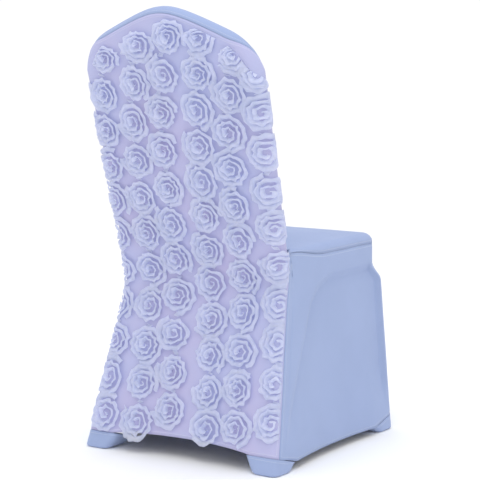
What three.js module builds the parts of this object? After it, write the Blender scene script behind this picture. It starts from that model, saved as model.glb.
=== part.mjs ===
// A fitted stretch cover for a banquet chair, shown in the shape it takes when it is pulled over the chair.
// It is hollow: the chair itself is not part of it.
//
// The cover is sewn from flat cuts: a back panel that runs from the hem behind the rear legs up to the crown,
// an inner back panel on the sitting side, a seat panel, two side panels, a front panel, and four foot pockets
// that hook under the legs. Ribbon rosettes stand on the back panel in six columns, each column one long ribbon.
//
// Units are millimetres. +Z is up, the sitter faces -Y, and +X is the sitter's left.
// The shape is written with its floor at z = 0 and the seat's middle near x = y = 0. The whole group is then
// moved so that the origin is the point under the crown where the cover hangs on the top rail of the chair.

import * as THREE from "three";

// ---- driving dimensions -------------------------------------------------------------------------------------

const CLOTH = 1.8; // thickness of every panel, seam allowances included
const SEAM_GAP = 0.4; // clear space between two panels at a seam

const PAD_THICKNESS = 34; // backrest, front to rear
const PAD_ROLL = 16; // radius of the backrest's edges and of the rear legs' corners
const CROWN_HEIGHT = 924; // top of the rear face at the centre line
const CROWN_SLOPE = 0.467; // fall of the crown towards each shoulder
const CROWN_SOFTNESS = 59; // how gently the crown turns over at the centre line
const SHOULDER_X = 201; // where the crown and the side would meet
const SHOULDER = 55; // length of outline that each shoulder's curve takes up on both sides of its corner

const WAIST_HEIGHT = 356; // where the rear legs meet the backrest
const WAIST_SOFTNESS = 24; // how gently the cover turns there
const WAIST_Y = 197; // rear face at the waist
const BACK_LEAN = 0.273; // rearward slope of the backrest
const LEG_SPLAY = 0.286; // rearward slope of the rear legs
const WAIST_HALF_WIDTH = 203;
const BACK_FLARE = 0.029; // widening of the backrest towards the shoulders, on each side
const LEG_FLARE = 0.118; // widening of the rear legs towards the floor, on each side

const SEAT_TOP = 440; // seat height in the middle
const SEAT_EDGE = 419; // height of the seam along the seat's sides and front
const SEAT_CROWN = 3; // how much the middle of the seat stands above its rolled edge
const SEAT_ROLL = 22; // radius of the roll along the seat's sides and front
const SEAT_HALF_WIDTH = 200; // at the front corners
const SEAT_FRONT_Y = -192;
const KNEE_TOP = 376; // the seat's side band ends here
const KNEE_DEPTH = 40; // and the cloth reaches the front legs this much lower
const KNEE_STEP = 9; // how far the front legs stand out past the seat
const FRONT_LEG_FLARE = 0.057; // further widening towards the floor
const SEAT_CORNER = 33; // radius of the seat's front corners
const LEG_CORNER = 18; // radius of the front legs' corners

const POCKET_TOP = 36; // height of a pocket's mouth at the rear or the front of a leg
const POCKET_LOW = 14; // height of its mouth on the far side, where the side hem begins
const POCKET_MOUTH = 80; // width of a pocket at its mouth
const POCKET_SOLE = 42; // width of a pocket under the foot
const POCKET_CORNER = 16; // corner radius of a pocket
const POCKET_ROUND = 6; // radius between a pocket's walls and its sole
const HEM_RISE_REAR = 11; // how far the hem arches up between the pockets
const HEM_RISE_SIDE = 3;
const HEM_RISE_FRONT = 11;
const PANEL_SAG = 9; // how far the taut panels draw in near the hem
const SIDE_RECESS = 7; // step from the seat band and leg strip into the side panel
const RECESS_FADE = 150; // height over which the recess fades out towards the hem
const BAND_CURVE = 70; // radius of the turn from the seat's band into the band along the rear leg
const LEG_BAND_TOP = { x: 85, y: 350 }; // two places on the front edge of that band, as y and z
const LEG_BAND_FOOT = { x: 250, y: 53 };
const BAND_HEIGHT = 43; // height of the band that follows the seat's edge
const BAND_SOFTNESS = 22; // width of the step below it

const ROSETTE_RADIUS = 36;
const ROSETTE_RISE = 9; // height of a rosette's petals above the cloth
const RIBBON_RISE = 3; // height of the ribbon where it runs from one rosette to the next
const RIBBON_HALF_WIDTH = 9;
const RIBBON_CLEARANCE = 0.7; // under a ribbon
const ROLL_CLEARANCE = 8; // and this much more where it lies round the backrest's edge
const WAIST_CLEARANCE = 2.2; // or where it bridges the turn at the waist
// The columns, from +X to -X: where each runs at four heights, as a distance along the cloth from the centre line,
// and the heights of its lowest and its highest rosette.
const COLUMN_HEIGHTS = [60, 365, 700, 870];
const COLUMNS = [
  { at: [196, 208, 179, 146], low: 75, high: 828, count: 11 },
  { at: [111, 126, 104, 57], low: 66, high: 856, count: 11 },
  { at: [37, 59, 33, -17], low: 98, high: 874, count: 11 },
  { at: [-60, -28, -56, -91], low: 72, high: 872, count: 12 },
  { at: [-131, -107, -126, -172], low: 83, high: 836, count: 11 },
  { at: [-219, -191, -203, -216], low: 100, high: 788, count: 10 },
];

const SEAM_ON_LEG = 19; // how far the back panel wraps round a rear leg's corner, along the cloth
const SEAM_ON_PAD = 39; // how far it wraps round the backrest's sides
const SEAM_ON_CROWN = 7; // how far it wraps over the crown

// mesh divisions
const LEG_ROWS = 10;
const PAD_ROWS = 7;
const SHOULDER_STEPS = 3;
const CROWN_STEPS = 4; // from a shoulder to the centre line
const WRAP_STEPS = 3;
const STRIP_STEPS = 4;
const SPAN_STEPS = 8;
const CORNER_STEPS = 2;
const POCKET_CORNER_STEPS = 2;
const STATIONS_PER_ROSETTE = 3;

// ---- small helpers ------------------------------------------------------------------------------------------

const lerp = THREE.MathUtils.lerp;
const clamp = THREE.MathUtils.clamp;
const clamp01 = (t) => clamp(t, 0, 1);
const smooth = (t) => clamp01(t) ** 2 * (3 - 2 * clamp01(t));
const range = (n) => Array.from({ length: n }, (_, i) => i);
const steps = (n) => Array.from({ length: n + 1 }, (_, i) => i / n); // 0 to 1 in n steps
const mirrored = (p) => new THREE.Vector3(-p.x, p.y, p.z);

// A closed body between an outer and an inner set of points: the four-sided faces on the outer ones, the same faces
// turned round on the inner ones, and the rim between the two. Faces turn anticlockwise seen from outside, and each
// is split along its shorter diagonal.
function closedBetween(outer, inner, faces) {
  const n = outer.length;
  const all = [...outer, ...inner];
  const index = [];
  const face = (a, b, c, d, split) => index.push(...(split ? [a, b, c, a, c, d] : [a, b, d, b, c, d]));
  const shorter = (a, b, c, d) => all[a].distanceTo(all[c]) <= all[b].distanceTo(all[d]);
  const rim = new Map();
  for (const [a, b, c, d] of faces) {
    const split = shorter(a, b, c, d);
    face(a, b, c, d, split);
    face(d + n, c + n, b + n, a + n, !split);
    for (const [from, to] of [[a, b], [b, c], [c, d], [d, a]]) {
      if (!rim.delete(`${to},${from}`)) rim.set(`${from},${to}`, [to, from, from + n, to + n]);
    }
  }
  for (const edge of rim.values()) face(...edge, shorter(...edge));
  return new THREE.BufferGeometry().setFromPoints(all).setIndex(index);
}

// The faces of a grid of rows that each hold the same number of points. `flip` turns them round.
function gridFaces(rows, columns, flip = false) {
  const faces = [];
  for (const j of range(rows - 1)) {
    for (const i of range(columns - 1)) {
      const a = j * columns + i;
      const f = [a, a + 1, a + 1 + columns, a + columns];
      faces.push(flip ? f.reverse() : f);
    }
  }
  return faces;
}

// A sheet of cloth from a grid. `rowsAt` gives the grid's rows at a distance in from the cloth's outer face.
function clothGrid(rowsAt, flip) {
  const outer = rowsAt(0);
  const faces = gridFaces(outer.length, outer[0].length, flip);
  return closedBetween(outer.flat(), rowsAt(CLOTH).flat(), faces);
}

// Fills a four-sided outline: bottom and top run one way, left and right run from bottom to top.
function coons(bottom, top, left, right) {
  const columns = bottom.length - 1;
  const rows = left.length - 1;
  const mix = (key, i, j) => {
    const u = i / columns;
    const v = j / rows;
    const corners =
      (1 - u) * (1 - v) * bottom[0][key] + u * (1 - v) * bottom[columns][key] +
      (1 - u) * v * top[0][key] + u * v * top[columns][key];
    return lerp(bottom[i][key], top[i][key], v) + lerp(left[j][key], right[j][key], u) - corners;
  };
  return range(rows + 1).map((j) =>
    range(columns + 1).map((i) => new THREE.Vector3(mix("x", i, j), mix("y", i, j), mix("z", i, j))),
  );
}

// ---- the backrest and the rear legs -------------------------------------------------------------------------
// Places on the back are given by x, by height up the rear face, and by depth in front of that face.

// A line that turns softly at the waist: `below` and `above` are its slopes far from it.
const waisted = (height, below, above) => {
  const from = height - WAIST_HEIGHT;
  const turned = Math.hypot(from, WAIST_SOFTNESS) - WAIST_SOFTNESS;
  return ((above + below) / 2) * from + ((above - below) / 2) * turned;
};
const waistedSlope = (height, below, above) => {
  const from = height - WAIST_HEIGHT;
  return (above + below) / 2 + ((above - below) / 2) * (from / Math.hypot(from, WAIST_SOFTNESS));
};
const rearY = (height) => WAIST_Y + waisted(height, -LEG_SPLAY, BACK_LEAN);
const halfWidth = (height) => WAIST_HALF_WIDTH + waisted(height, -LEG_FLARE, BACK_FLARE);

// Depth runs square to the rear face, and turns level towards the hem. Near the hem the cover reaches lower with
// depth, down to the tilted mouths of the foot pockets.
const mouthDrop = (depth) => (POCKET_TOP - POCKET_LOW) * clamp01(depth / POCKET_MOUTH);
function onBack({ x, y: height, z: depth }) {
  const slope = waistedSlope(height, -LEG_SPLAY, BACK_LEAN) * smooth((height - POCKET_TOP) / 160);
  const length = Math.hypot(1, slope);
  const drop = mouthDrop(depth) * clamp01(1 - (height - POCKET_TOP) / 200) ** 2;
  return new THREE.Vector3(x, rearY(height) - depth / length, height + (depth * slope) / length - drop);
}

// The outline of the back seen face on, for x > 0: up the side, round the shoulder, along the crown.
const crownAt = (x) => CROWN_HEIGHT - CROWN_SLOPE * (Math.hypot(x, CROWN_SOFTNESS) - CROWN_SOFTNESS);
const cornerX = SHOULDER_X;
const shoulderCorner = new THREE.Vector2(cornerX, crownAt(cornerX));
const shoulderStart = shoulderCorner.y - SHOULDER;
const shoulderEnd = cornerX - SHOULDER;
const shoulder = new THREE.QuadraticBezierCurve(
  new THREE.Vector2(halfWidth(shoulderStart), shoulderStart),
  shoulderCorner,
  new THREE.Vector2(shoulderEnd, crownAt(shoulderEnd)),
);

// Rows lie closer together towards the waist, where the cover turns.
const seatJoin = SEAT_TOP - 4; // height up the rear face where the seat meets the backrest
const rising = (t) => lerp(t, Math.sin((t * Math.PI) / 2), 0.5);
const legRows = steps(LEG_ROWS).map(rising);
const legHeights = legRows.map((up) => lerp(POCKET_TOP, seatJoin, up));
const padHeights = steps(PAD_ROWS).map((t) => lerp(shoulderStart, seatJoin, rising(1 - t)));

// Outline points with their outward directions, from the hem at +X up to the centre line.
function outline(points) {
  return points.map((p, k) => {
    const before = points[Math.max(k - 1, 0)];
    const after = points[Math.min(k + 1, points.length - 1)];
    const along = after.clone().sub(before).normalize();
    return { x: p.x, height: p.y, out: new THREE.Vector2(along.y, -along.x) };
  });
}
const half = outline([
  ...legHeights.map((h) => new THREE.Vector2(halfWidth(h), h)),
  ...padHeights.slice(1).map((h) => new THREE.Vector2(halfWidth(h), h)),
  ...steps(2 * SHOULDER_STEPS).slice(1).map((t) => shoulder.getPoint(t)),
  ...steps(CROWN_STEPS).slice(1).map((t) => {
    const x = lerp(shoulderEnd, 0, t);
    return new THREE.Vector2(x, crownAt(x));
  }),
]);
half.slice(0, LEG_ROWS + PAD_ROWS).forEach((p) => p.out.set(1, 0));
half[half.length - 1].out.set(0, 1);
const sideCount = LEG_ROWS + PAD_ROWS + SHOULDER_STEPS; // steps from the hem to the middle of the shoulder

// The edge's profile from the rear face round to the front face, by length along the cloth from where it starts.
const QUARTER = (Math.PI / 2) * PAD_ROLL;
const SIDE_END = QUARTER + PAD_THICKNESS - PAD_ROLL; // length at the front face if the side ran straight on
const WHOLE_EDGE = 2 * QUARTER + PAD_THICKNESS - 2 * PAD_ROLL;
function edgeProfile(length, inward, rolledFront = true) {
  const radius = PAD_ROLL - inward;
  if (length <= QUARTER) {
    const turn = length / PAD_ROLL;
    return { out: radius * Math.sin(turn), depth: PAD_ROLL - radius * Math.cos(turn) };
  }
  const straight = PAD_ROLL + length - QUARTER;
  if (!rolledFront || straight <= PAD_THICKNESS - PAD_ROLL) return { out: radius, depth: straight };
  const turn = (straight - PAD_THICKNESS + PAD_ROLL) / PAD_ROLL;
  return { out: radius * Math.cos(turn), depth: PAD_THICKNESS - PAD_ROLL + radius * Math.sin(turn) };
}
function edgeFlat(point, length, inward, rolledFront = true) {
  const { out, depth } = edgeProfile(length, inward, rolledFront);
  return new THREE.Vector3(
    point.x + point.out.x * (out - PAD_ROLL),
    point.height + point.out.y * (out - PAD_ROLL),
    depth,
  );
}
const onEdge = (...place) => onBack(edgeFlat(...place));

// How far the back panel wraps round the edge: along the legs and sides by height, over the crown by outline point.
const sideSeam = (height) => lerp(SEAM_ON_LEG, SEAM_ON_PAD, smooth((height - 330) / (seatJoin - 330)));
const crownSeam = (k) =>
  lerp(SEAM_ON_PAD, SEAM_ON_CROWN, smooth((k - sideCount + SHOULDER_STEPS) / (2 * SHOULDER_STEPS)));
const seamAt = (k) => (k <= LEG_ROWS ? sideSeam(half[k].height) : crownSeam(k));

// Outline points in order from the hem at +X over the crown to the hem at -X, with how far the seam is wrapped.
const plusX = half.map((p, k) => ({ ...p, seam: seamAt(k) }));
const minusX = plusX.map((p) => ({ ...p, x: -p.x, out: new THREE.Vector2(-p.out.x, p.out.y) }));
const whole = [...plusX, ...minusX.reverse().slice(1)];

// A face of the back: a filled middle, and a strip that rolls round its edge to the seam. `first` is the outline
// point that it starts from on both sides, and `place` puts an outline point at a length round the edge.
function backFace({ first, bottomAt, place, wrap, bulge, flip }) {
  const loop = whole.slice(first, whole.length - first);
  const sides = sideCount - first;
  const faces = [];
  const pointsAt = (inward) => {
    const start = loop.map((p) => place(p, 0, inward));
    const right = start.slice(0, sides + 1);
    const left = start.slice(start.length - 1 - sides).reverse();
    const top = start.slice(sides, start.length - sides);
    const bottom = range(top.length).map((i) => bottomAt(1 - (2 * i) / (top.length - 1), inward));
    const rows = coons(bottom, top, right, left);
    for (const p of rows.flat()) p.z -= bulge(p.x, p.y);
    const rings = steps(WRAP_STEPS).slice(1).map((t) => loop.map((p) => place(p, t * wrap(p), inward)));
    const points = [...rows, ...rings].flat().map(onBack);
    return { points, columns: top.length, rows: rows.length };
  };
  const { points, columns, rows } = pointsAt(0);
  faces.push(...gridFaces(rows, columns, flip));
  let previous = [
    ...range(rows).map((j) => j * columns),
    ...range(columns).slice(1, -1).map((i) => (rows - 1) * columns + i),
    ...range(rows).map((j) => j * columns + columns - 1).reverse(),
  ];
  for (const ring of range(WRAP_STEPS)) {
    const next = loop.map((_, k) => rows * columns + ring * loop.length + k);
    for (const k of range(loop.length - 1)) {
      const f = [previous[k], previous[k + 1], next[k + 1], next[k]];
      faces.push(flip ? f.reverse() : f);
    }
    previous = next;
  }
  return closedBetween(points, pointsAt(CLOTH).points, faces);
}

// How far a taut panel draws in between two legs, at a distance from one leg's corner out of a whole width.
function sag(from, width, height) {
  const t = clamp01((from - POCKET_MOUTH) / (width - 2 * POCKET_MOUTH));
  return PANEL_SAG * Math.sin(Math.PI * t) * smooth((WAIST_HEIGHT - height) / 300);
}

// How far the rear face stands out between its edges: a little crowned on the backrest, drawn in between the legs.
function rearBulge(x, height) {
  const across = clamp01(1 - (x / (halfWidth(height) - PAD_ROLL)) ** 2);
  const crown = 6 * smooth((height - WAIST_HEIGHT) / 200) * smooth((crownAt(x) - PAD_ROLL - height) / 60);
  return across * crown - sag(halfWidth(height) - Math.abs(x), 2 * halfWidth(height), height);
}

// A hem's arch between two legs, from 0 at the legs to 1 half way; `t` runs from -1 to 1.
const arch = (t) => clamp01(1 - t * t) ** 0.75;

function backPanel() {
  const edge = halfWidth(POCKET_TOP) - PAD_ROLL;
  return backFace({
    first: 0,
    bottomAt: (t, inward) => new THREE.Vector3(t * edge, POCKET_TOP + HEM_RISE_REAR * arch(t * 1.3), inward),
    place: edgeFlat,
    wrap: (p) => p.seam,
    bulge: rearBulge,
    flip: false,
  });
}

function innerBackPanel() {
  const edge = halfWidth(seatJoin) - PAD_ROLL;
  const low = seatJoin + SEAM_GAP;
  const padBulge = (x, height) => {
    const across = clamp01(1 - (x / (halfWidth(height) - PAD_ROLL)) ** 2);
    const up = (height - SEAT_TOP) / (crownAt(x) - SEAT_TOP);
    return -7 * across * smooth(up * 4) * smooth((1 - up) * 4);
  };
  return backFace({
    first: LEG_ROWS,
    bottomAt: (t, inward) => new THREE.Vector3(t * edge, low, PAD_THICKNESS - inward),
    place: (p, length, inward) => edgeFlat({ ...p, height: Math.max(p.height, low) }, WHOLE_EDGE - length, inward),
    wrap: (p) => WHOLE_EDGE - p.seam - SEAM_GAP,
    bulge: padBulge,
    flip: true,
  });
}

// ---- the seat and the skirt ---------------------------------------------------------------------------------

// The front corner at +X: where its two faces would meet, and the radius between them, by height.
function frontCorner(z) {
  const knee = smooth((KNEE_TOP - z) / KNEE_DEPTH);
  const down = Math.max(0, KNEE_TOP - KNEE_DEPTH / 2 - z);
  const out = KNEE_STEP * knee + FRONT_LEG_FLARE * down;
  return { x: SEAT_HALF_WIDTH + out, y: SEAT_FRONT_Y - out, radius: lerp(SEAT_CORNER, LEG_CORNER, knee) };
}
// A point on the front corner's curve. Turn is 0 where it leaves the side and 1 where it reaches the front. Near
// the hem the corner reaches lower towards the side, down to the tilted mouth of the foot pocket.
function onFrontCorner(z, turn, inward) {
  const { x, y, radius } = frontCorner(z);
  const angle = (turn * Math.PI) / 2;
  const behind = radius * (1 - Math.sin(angle));
  const drop = mouthDrop(behind) * clamp01(1 - (z - POCKET_TOP) / 200) ** 2;
  return new THREE.Vector3(
    x - radius + (radius - inward) * Math.cos(angle),
    y + radius - (radius - inward) * Math.sin(angle),
    z - drop,
  );
}

// Along a side panel from the rear seam to the front corner's seam: round the rear leg's corner and along the leg,
// across the span, and half way round the front corner.
const sideParts = [
  ...steps(STRIP_STEPS).slice(0, -1).map((t) => ({ part: "strip", t })),
  ...steps(SPAN_STEPS).slice(0, -1).map((t) => ({ part: "span", t })),
  ...steps(CORNER_STEPS).map((t) => ({ part: "front", t })),
];
const FRONT_SEAM_TURN = 0.5;

// The seam between seat and side: low along the seat, and rising to the backrest at its rear end.
const seatSeam = (t) => lerp(seatJoin - SEAM_GAP, SEAT_EDGE, smooth(t / 0.45));

// The hem's height along the side, between the mouths of the two foot pockets.
function sideHem(depth, ahead) {
  const rear = POCKET_TOP - mouthDrop(depth);
  const front = POCKET_TOP - mouthDrop(ahead);
  return Math.max(rear, front, POCKET_LOW) + HEM_RISE_SIDE * arch(2 * (depth / (depth + ahead)) - 1);
}

// How far a place on the side lies inside the taut, recessed cloth: below the seat's band, ahead of the band that
// follows the rear leg, and behind the front leg. The corner between the first two is rounded.
function recess(p, fromTop, fromFront) {
  const leg = new THREE.Vector2(LEG_BAND_FOOT.x - LEG_BAND_TOP.x, LEG_BAND_FOOT.y - LEG_BAND_TOP.y).normalize();
  const ahead = -(leg.y * (LEG_BAND_TOP.x - p.y) - leg.x * (LEG_BAND_TOP.y - p.z));
  const below = fromTop - BAND_HEIGHT;
  const a = Math.max(0, BAND_CURVE - ahead);
  const b = Math.max(0, BAND_CURVE - below);
  const rounded = BAND_CURVE - Math.hypot(a, b);
  const inset = Math.min(a > 0 && b > 0 ? rounded : Math.min(ahead, below), fromFront);
  return SIDE_RECESS * smooth(inset / BAND_SOFTNESS) * smooth((p.z - POCKET_TOP) / RECESS_FADE);
}

function onSide(up, { part, t }, inward) {
  const height = lerp(POCKET_TOP, seatJoin - SEAM_GAP, up);
  const place = { x: halfWidth(height), height, out: new THREE.Vector2(1, 0) };
  const corner = lerp(POCKET_TOP, SEAT_EDGE, up);
  if (part === "strip") {
    return onEdge(place, lerp(sideSeam(height) + SEAM_GAP, SIDE_END, t), inward, false);
  }
  if (part === "front") return onFrontCorner(corner, FRONT_SEAM_TURN * t, inward);
  const p = onEdge(place, SIDE_END, inward, false);
  const rear = p.y;
  const front = onFrontCorner(corner, 0, inward);
  p.lerp(front, t);
  const depth = PAD_THICKNESS + rear - p.y;
  const ahead = frontCorner(corner).radius + p.y - front.y;
  p.z = lerp(sideHem(depth, ahead), seatSeam(t), up);
  p.x -= recess(p, seatSeam(t) - p.z, p.y - front.y + 8) + sag(ahead, ahead + depth, p.z);
  return p;
}

function sidePanel(side) {
  const rowsAt = (inward) =>
    legRows.map((up) =>
      sideParts.map((place) => {
        const p = onSide(up, place, inward);
        return side > 0 ? p : mirrored(p);
      }),
    );
  return clothGrid(rowsAt, side > 0);
}

function frontPanel() {
  const gapTurn = SEAM_GAP / (LEG_CORNER * 1.5);
  const rowsAt = (inward) =>
    legRows.map((up) => {
      const high = lerp(POCKET_TOP, SEAT_EDGE, up);
      const turns = steps(CORNER_STEPS).slice(0, -1).map((t) => lerp(FRONT_SEAM_TURN + gapTurn, 1, t));
      const corner = turns.map((turn) => onFrontCorner(high, turn, inward));
      const edge = onFrontCorner(high, 1, inward);
      const span = steps(SPAN_STEPS).map((t) => {
        const p = edge.clone().lerp(mirrored(edge), t);
        p.z = lerp(POCKET_TOP + HEM_RISE_FRONT * arch((2 * t - 1) * 1.3), SEAT_EDGE, up);
        const fromLeg = Math.min(t, 1 - t) * 2 * (SEAT_HALF_WIDTH - SEAT_CORNER);
        const inset = Math.min(SEAT_EDGE - p.z - BAND_HEIGHT, fromLeg) / BAND_SOFTNESS;
        p.y += SIDE_RECESS * smooth(inset) + sag(SEAT_HALF_WIDTH - Math.abs(p.x), 2 * SEAT_HALF_WIDTH, p.z);
        return p;
      });
      return [...corner, ...span, ...corner.map(mirrored).reverse()];
    });
  return clothGrid(rowsAt, true);
}

// The seat: filled between the tops of the side panels, the top of the front panel and the foot of the backrest,
// with a rolled edge along the sides and the front.
function seatPanel() {
  const frontTurns = steps(CORNER_STEPS).slice(0, -1).map((t) => lerp(FRONT_SEAM_TURN, 1, t));
  const rowsAt = (inward) => {
    const right = sideParts.map((place) => onSide(1, place, inward));
    const corner = frontTurns.map((turn) => onFrontCorner(SEAT_EDGE, turn, inward));
    const edge = onFrontCorner(SEAT_EDGE, 1, inward);
    const span = steps(SPAN_STEPS).map((t) => edge.clone().lerp(mirrored(edge), t));
    const front = [...corner, ...span, ...corner.map(mirrored).reverse()];
    const hidden = PAD_THICKNESS - CLOTH - 1;
    const wide = halfWidth(seatJoin);
    const rearEdge = (x, depth) => onBack(new THREE.Vector3(x, seatJoin - SEAM_GAP, depth));
    const rearCorner = [right[0], rearEdge(wide - 0.4 * PAD_ROLL, hidden - 0.4 * PAD_ROLL)];
    const middle = steps(front.length - 5).map((t) => {
      const x = lerp(wide - PAD_ROLL, PAD_ROLL - wide, t);
      return rearEdge(x, hidden);
    });
    const rear = [...rearCorner, ...middle, ...rearCorner.map(mirrored).reverse()];
    const rows = coons(rear, front, right, right.map(mirrored));
    const foot = middle[0].y;
    const border = [...right, ...front, ...right.map(mirrored)];
    rows.slice(1, -1).forEach((row) =>
      row.slice(1, -1).forEach((p) => {
        const near = Math.min(...border.slice(1).map((b, i) => planDistance(p, border[i], b)));
        const roll = Math.sqrt(1 - (1 - clamp01(near / (SEAT_ROLL - inward))) ** 2);
        const top = SEAT_TOP + SEAT_CROWN * smooth(near / 130) * smooth((foot - p.y) / 110) - inward;
        p.z = lerp(p.z, top, roll * smooth(0.25 + (foot - p.y) / 60));
      }),
    );
    for (const p of rows.flat()) p.z += SEAM_GAP;
    return rows;
  };
  return clothGrid(rowsAt, false);
}

// Distance in plan from a point to the line between two others.
function planDistance(p, a, b) {
  const along = new THREE.Vector2(b.x - a.x, b.y - a.y);
  const to = new THREE.Vector2(p.x - a.x, p.y - a.y);
  const t = clamp01(to.dot(along) / (along.lengthSq() || 1));
  return to.distanceTo(along.multiplyScalar(t));
}

// ---- the foot pockets ---------------------------------------------------------------------------------------

// A cup whose outer corner follows `corner(z)`; `sx` and `sy` say which way that corner points. Its mouth is tilted:
// high on the face that the panels' rear or front hem joins, and low where the side hem joins.
function footPocket(corner, sx, sy) {
  const loop = (level, inward) => {
    const at = corner(level * POCKET_TOP);
    const foot = level * POCKET_TOP;
    const tuck = POCKET_ROUND * (1 - Math.sqrt(1 - (1 - clamp01(foot / POCKET_ROUND)) ** 2));
    const size = lerp(POCKET_SOLE, POCKET_MOUTH, level ** 0.8);
    const radius = Math.max(POCKET_CORNER - tuck - inward, 3);
    const inset = size / 2 - tuck - inward - radius;
    return [[1, 1], [-1, 1], [-1, -1], [1, -1]].flatMap(([cx, cy], quarter) =>
      steps(POCKET_CORNER_STEPS).map((t) => {
        const angle = ((quarter + t) * Math.PI) / 2;
        const x = cx * inset + radius * Math.cos(angle);
        const y = cy * inset + radius * Math.sin(angle);
        const depth = size / 2 - sy * y;
        const mouth = POCKET_TOP - mouthDrop(depth) - SEAM_GAP;
        const z = level === 0 ? inward : level * mouth;
        return new THREE.Vector3(sx * (at.x - size / 2) + x, at.y - (sy * size) / 2 + y, z);
      }),
    );
  };
  const levels = [0, POCKET_ROUND / POCKET_TOP, 0.5, 1];
  const loops = [...levels.map((level) => loop(level, 0)), ...levels.map((level) => loop(level, CLOTH)).reverse()];
  const points = loops.flat();
  const count = loops[0].length;
  const index = [];
  for (const j of range(loops.length - 1)) {
    for (const i of range(count)) {
      const a = j * count + i;
      const b = j * count + ((i + 1) % count);
      index.push(a, b, b + count, a, b + count, a + count);
    }
  }
  const middle = (k) => loops[k].reduce((sum, p) => sum.add(p), new THREE.Vector3()).divideScalar(count);
  const under = points.push(middle(0)) - 1;
  const inside = points.push(middle(loops.length - 1)) - 1;
  const last = (loops.length - 1) * count;
  for (const i of range(count)) {
    const next = (i + 1) % count;
    index.push(under, next, i, inside, last + i, last + next);
  }
  return new THREE.BufferGeometry().setFromPoints(points).setIndex(index);
}

const rearLeg = (z) => ({ x: halfWidth(z), y: rearY(z) });

// ---- the rosette ribbons ------------------------------------------------------------------------------------

// A place on the back panel by distance from the centre line along the cloth, height, and rise above the cloth.
function onCloth(along, height, rise) {
  const flat = halfWidth(height) - PAD_ROLL;
  const side = Math.sign(along) || 1;
  const past = Math.abs(along) - flat;
  if (past <= 0) return onBack(new THREE.Vector3(along, height, -rise - rearBulge(along, height)));
  return onEdge({ x: side * halfWidth(height), height, out: new THREE.Vector2(side, 0) }, past, -rise);
}

// How far out from the centre line the ribbons may reach, along the cloth: nearly to the seam on the sides, and
// only to where the cloth starts to roll at the shoulders.
function ribbonLimit(height) {
  const above = half.findIndex((p) => p.height > height + 0.7 * PAD_ROLL);
  const [low, high] = above > 0 ? [half[above - 1], half[above]] : [half[half.length - 1], half[half.length - 1]];
  const share = clamp01((height + 0.7 * PAD_ROLL - low.height) / (high.height - low.height || 1));
  const wrap = (sideSeam(height) - 1) * (1 - smooth((height - shoulderStart + 90) / 70));
  return lerp(low.x, high.x, share) - PAD_ROLL + wrap;
}

// Where a column of rosettes runs, as a distance along the cloth from the centre line.
function columnAt({ at }, height) {
  const last = COLUMN_HEIGHTS.length - 2;
  const above = COLUMN_HEIGHTS.findIndex((h) => h > height);
  const k = above < 0 ? last : clamp(above - 1, 0, last);
  const [low, high] = [COLUMN_HEIGHTS[k], COLUMN_HEIGHTS[k + 1]];
  return lerp(at[k], at[k + 1], (height - low) / (high - low));
}

// The share of a rosette's radius that there is room for above its middle, below the crown and the shoulders.
function headroom(column, middle) {
  const centre = Math.abs(columnAt(column, middle));
  const toCrown = crownAt(centre + 0.8 * ROSETTE_RADIUS) - 0.6 * PAD_ROLL - middle;
  const fits = steps(16).filter((t) => ribbonLimit(middle + t * ROSETTE_RADIUS) > centre - 4);
  return Math.max(0.3, Math.min(toCrown / ROSETTE_RADIUS, Math.max(0, ...fits)));
}

// Half way from a column to its neighbour, where there is one.
const halfWayTo = (neighbour, centre, height, none) => {
  return neighbour ? (centre + columnAt(neighbour, height)) / 2 : none;
};

// One column: a ribbon sewn down from the lowest rosette to the highest, swelling into a low dome at each. Where
// the seam cuts a rosette off, what is left of it ends at the seam, and crowded rosettes give way to each other.
function rosetteColumn(column, number) {
  const rows = [];
  for (const k of range(column.count)) {
    const middle = lerp(column.low, column.high, k / (column.count - 1));
    const above = headroom(column, middle);
    for (const s of range(STATIONS_PER_ROSETTE + (k === column.count - 1 ? 1 : 0))) {
      const offset = lerp(-0.97, 0.97, s / STATIONS_PER_ROSETTE) * ROSETTE_RADIUS;
      rows.push({ height: middle + offset * (offset > 0 ? above : 1), offset });
    }
  }
  const roundEdge = [0, 0.12, 0.25, 0.4, 0.6, 0.8, 1];
  let across = [0, 0.27, 0.73, 1];
  if (number === 0) across = roundEdge;
  if (number === COLUMNS.length - 1) across = roundEdge.map((t) => 1 - t).reverse();
  const rowsAt = (share) =>
    rows.map(({ height, offset }) => {
      const reach = Math.max(RIBBON_HALF_WIDTH, Math.sqrt(ROSETTE_RADIUS ** 2 - offset ** 2));
      const limit = ribbonLimit(height);
      const centre = columnAt(column, height);
      const high = Math.min(limit, halfWayTo(COLUMNS[number - 1], centre, height, limit) - 0.5);
      const low = Math.max(-limit, halfWayTo(COLUMNS[number + 1], centre, height, -limit) + 0.5);
      const from = clamp(centre + reach, low + 2 * RIBBON_HALF_WIDTH, high);
      const to = clamp(centre - reach, low, high - 2 * RIBBON_HALF_WIDTH);
      return across.map((t) => {
        const along = lerp(from, to, t);
        const dome = Math.sqrt(clamp01(1 - (offset / ROSETTE_RADIUS) ** 2 - (2 * t - 1) ** 2 * 0.56));
        const past = clamp01((Math.abs(along) - halfWidth(height) + PAD_ROLL + 15) / 15);
        const turning = clamp01(1.6 - Math.abs(height - WAIST_HEIGHT) / 40);
        const rise = RIBBON_CLEARANCE + Math.max(ROLL_CLEARANCE * past, WAIST_CLEARANCE * turning);
        const most = crownAt(along) - 0.6 * PAD_ROLL;
        const thick = lerp(RIBBON_RISE, ROSETTE_RISE, dome) * (1 - 0.45 * past);
        return onCloth(along, Math.min(height, most), rise + share * thick);
      });
    });
  return closedBetween(rowsAt(1).flat(), rowsAt(0).flat(), gridFaces(rows.length, across.length));
}

// ---- the cover ----------------------------------------------------------------------------------------------

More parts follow.
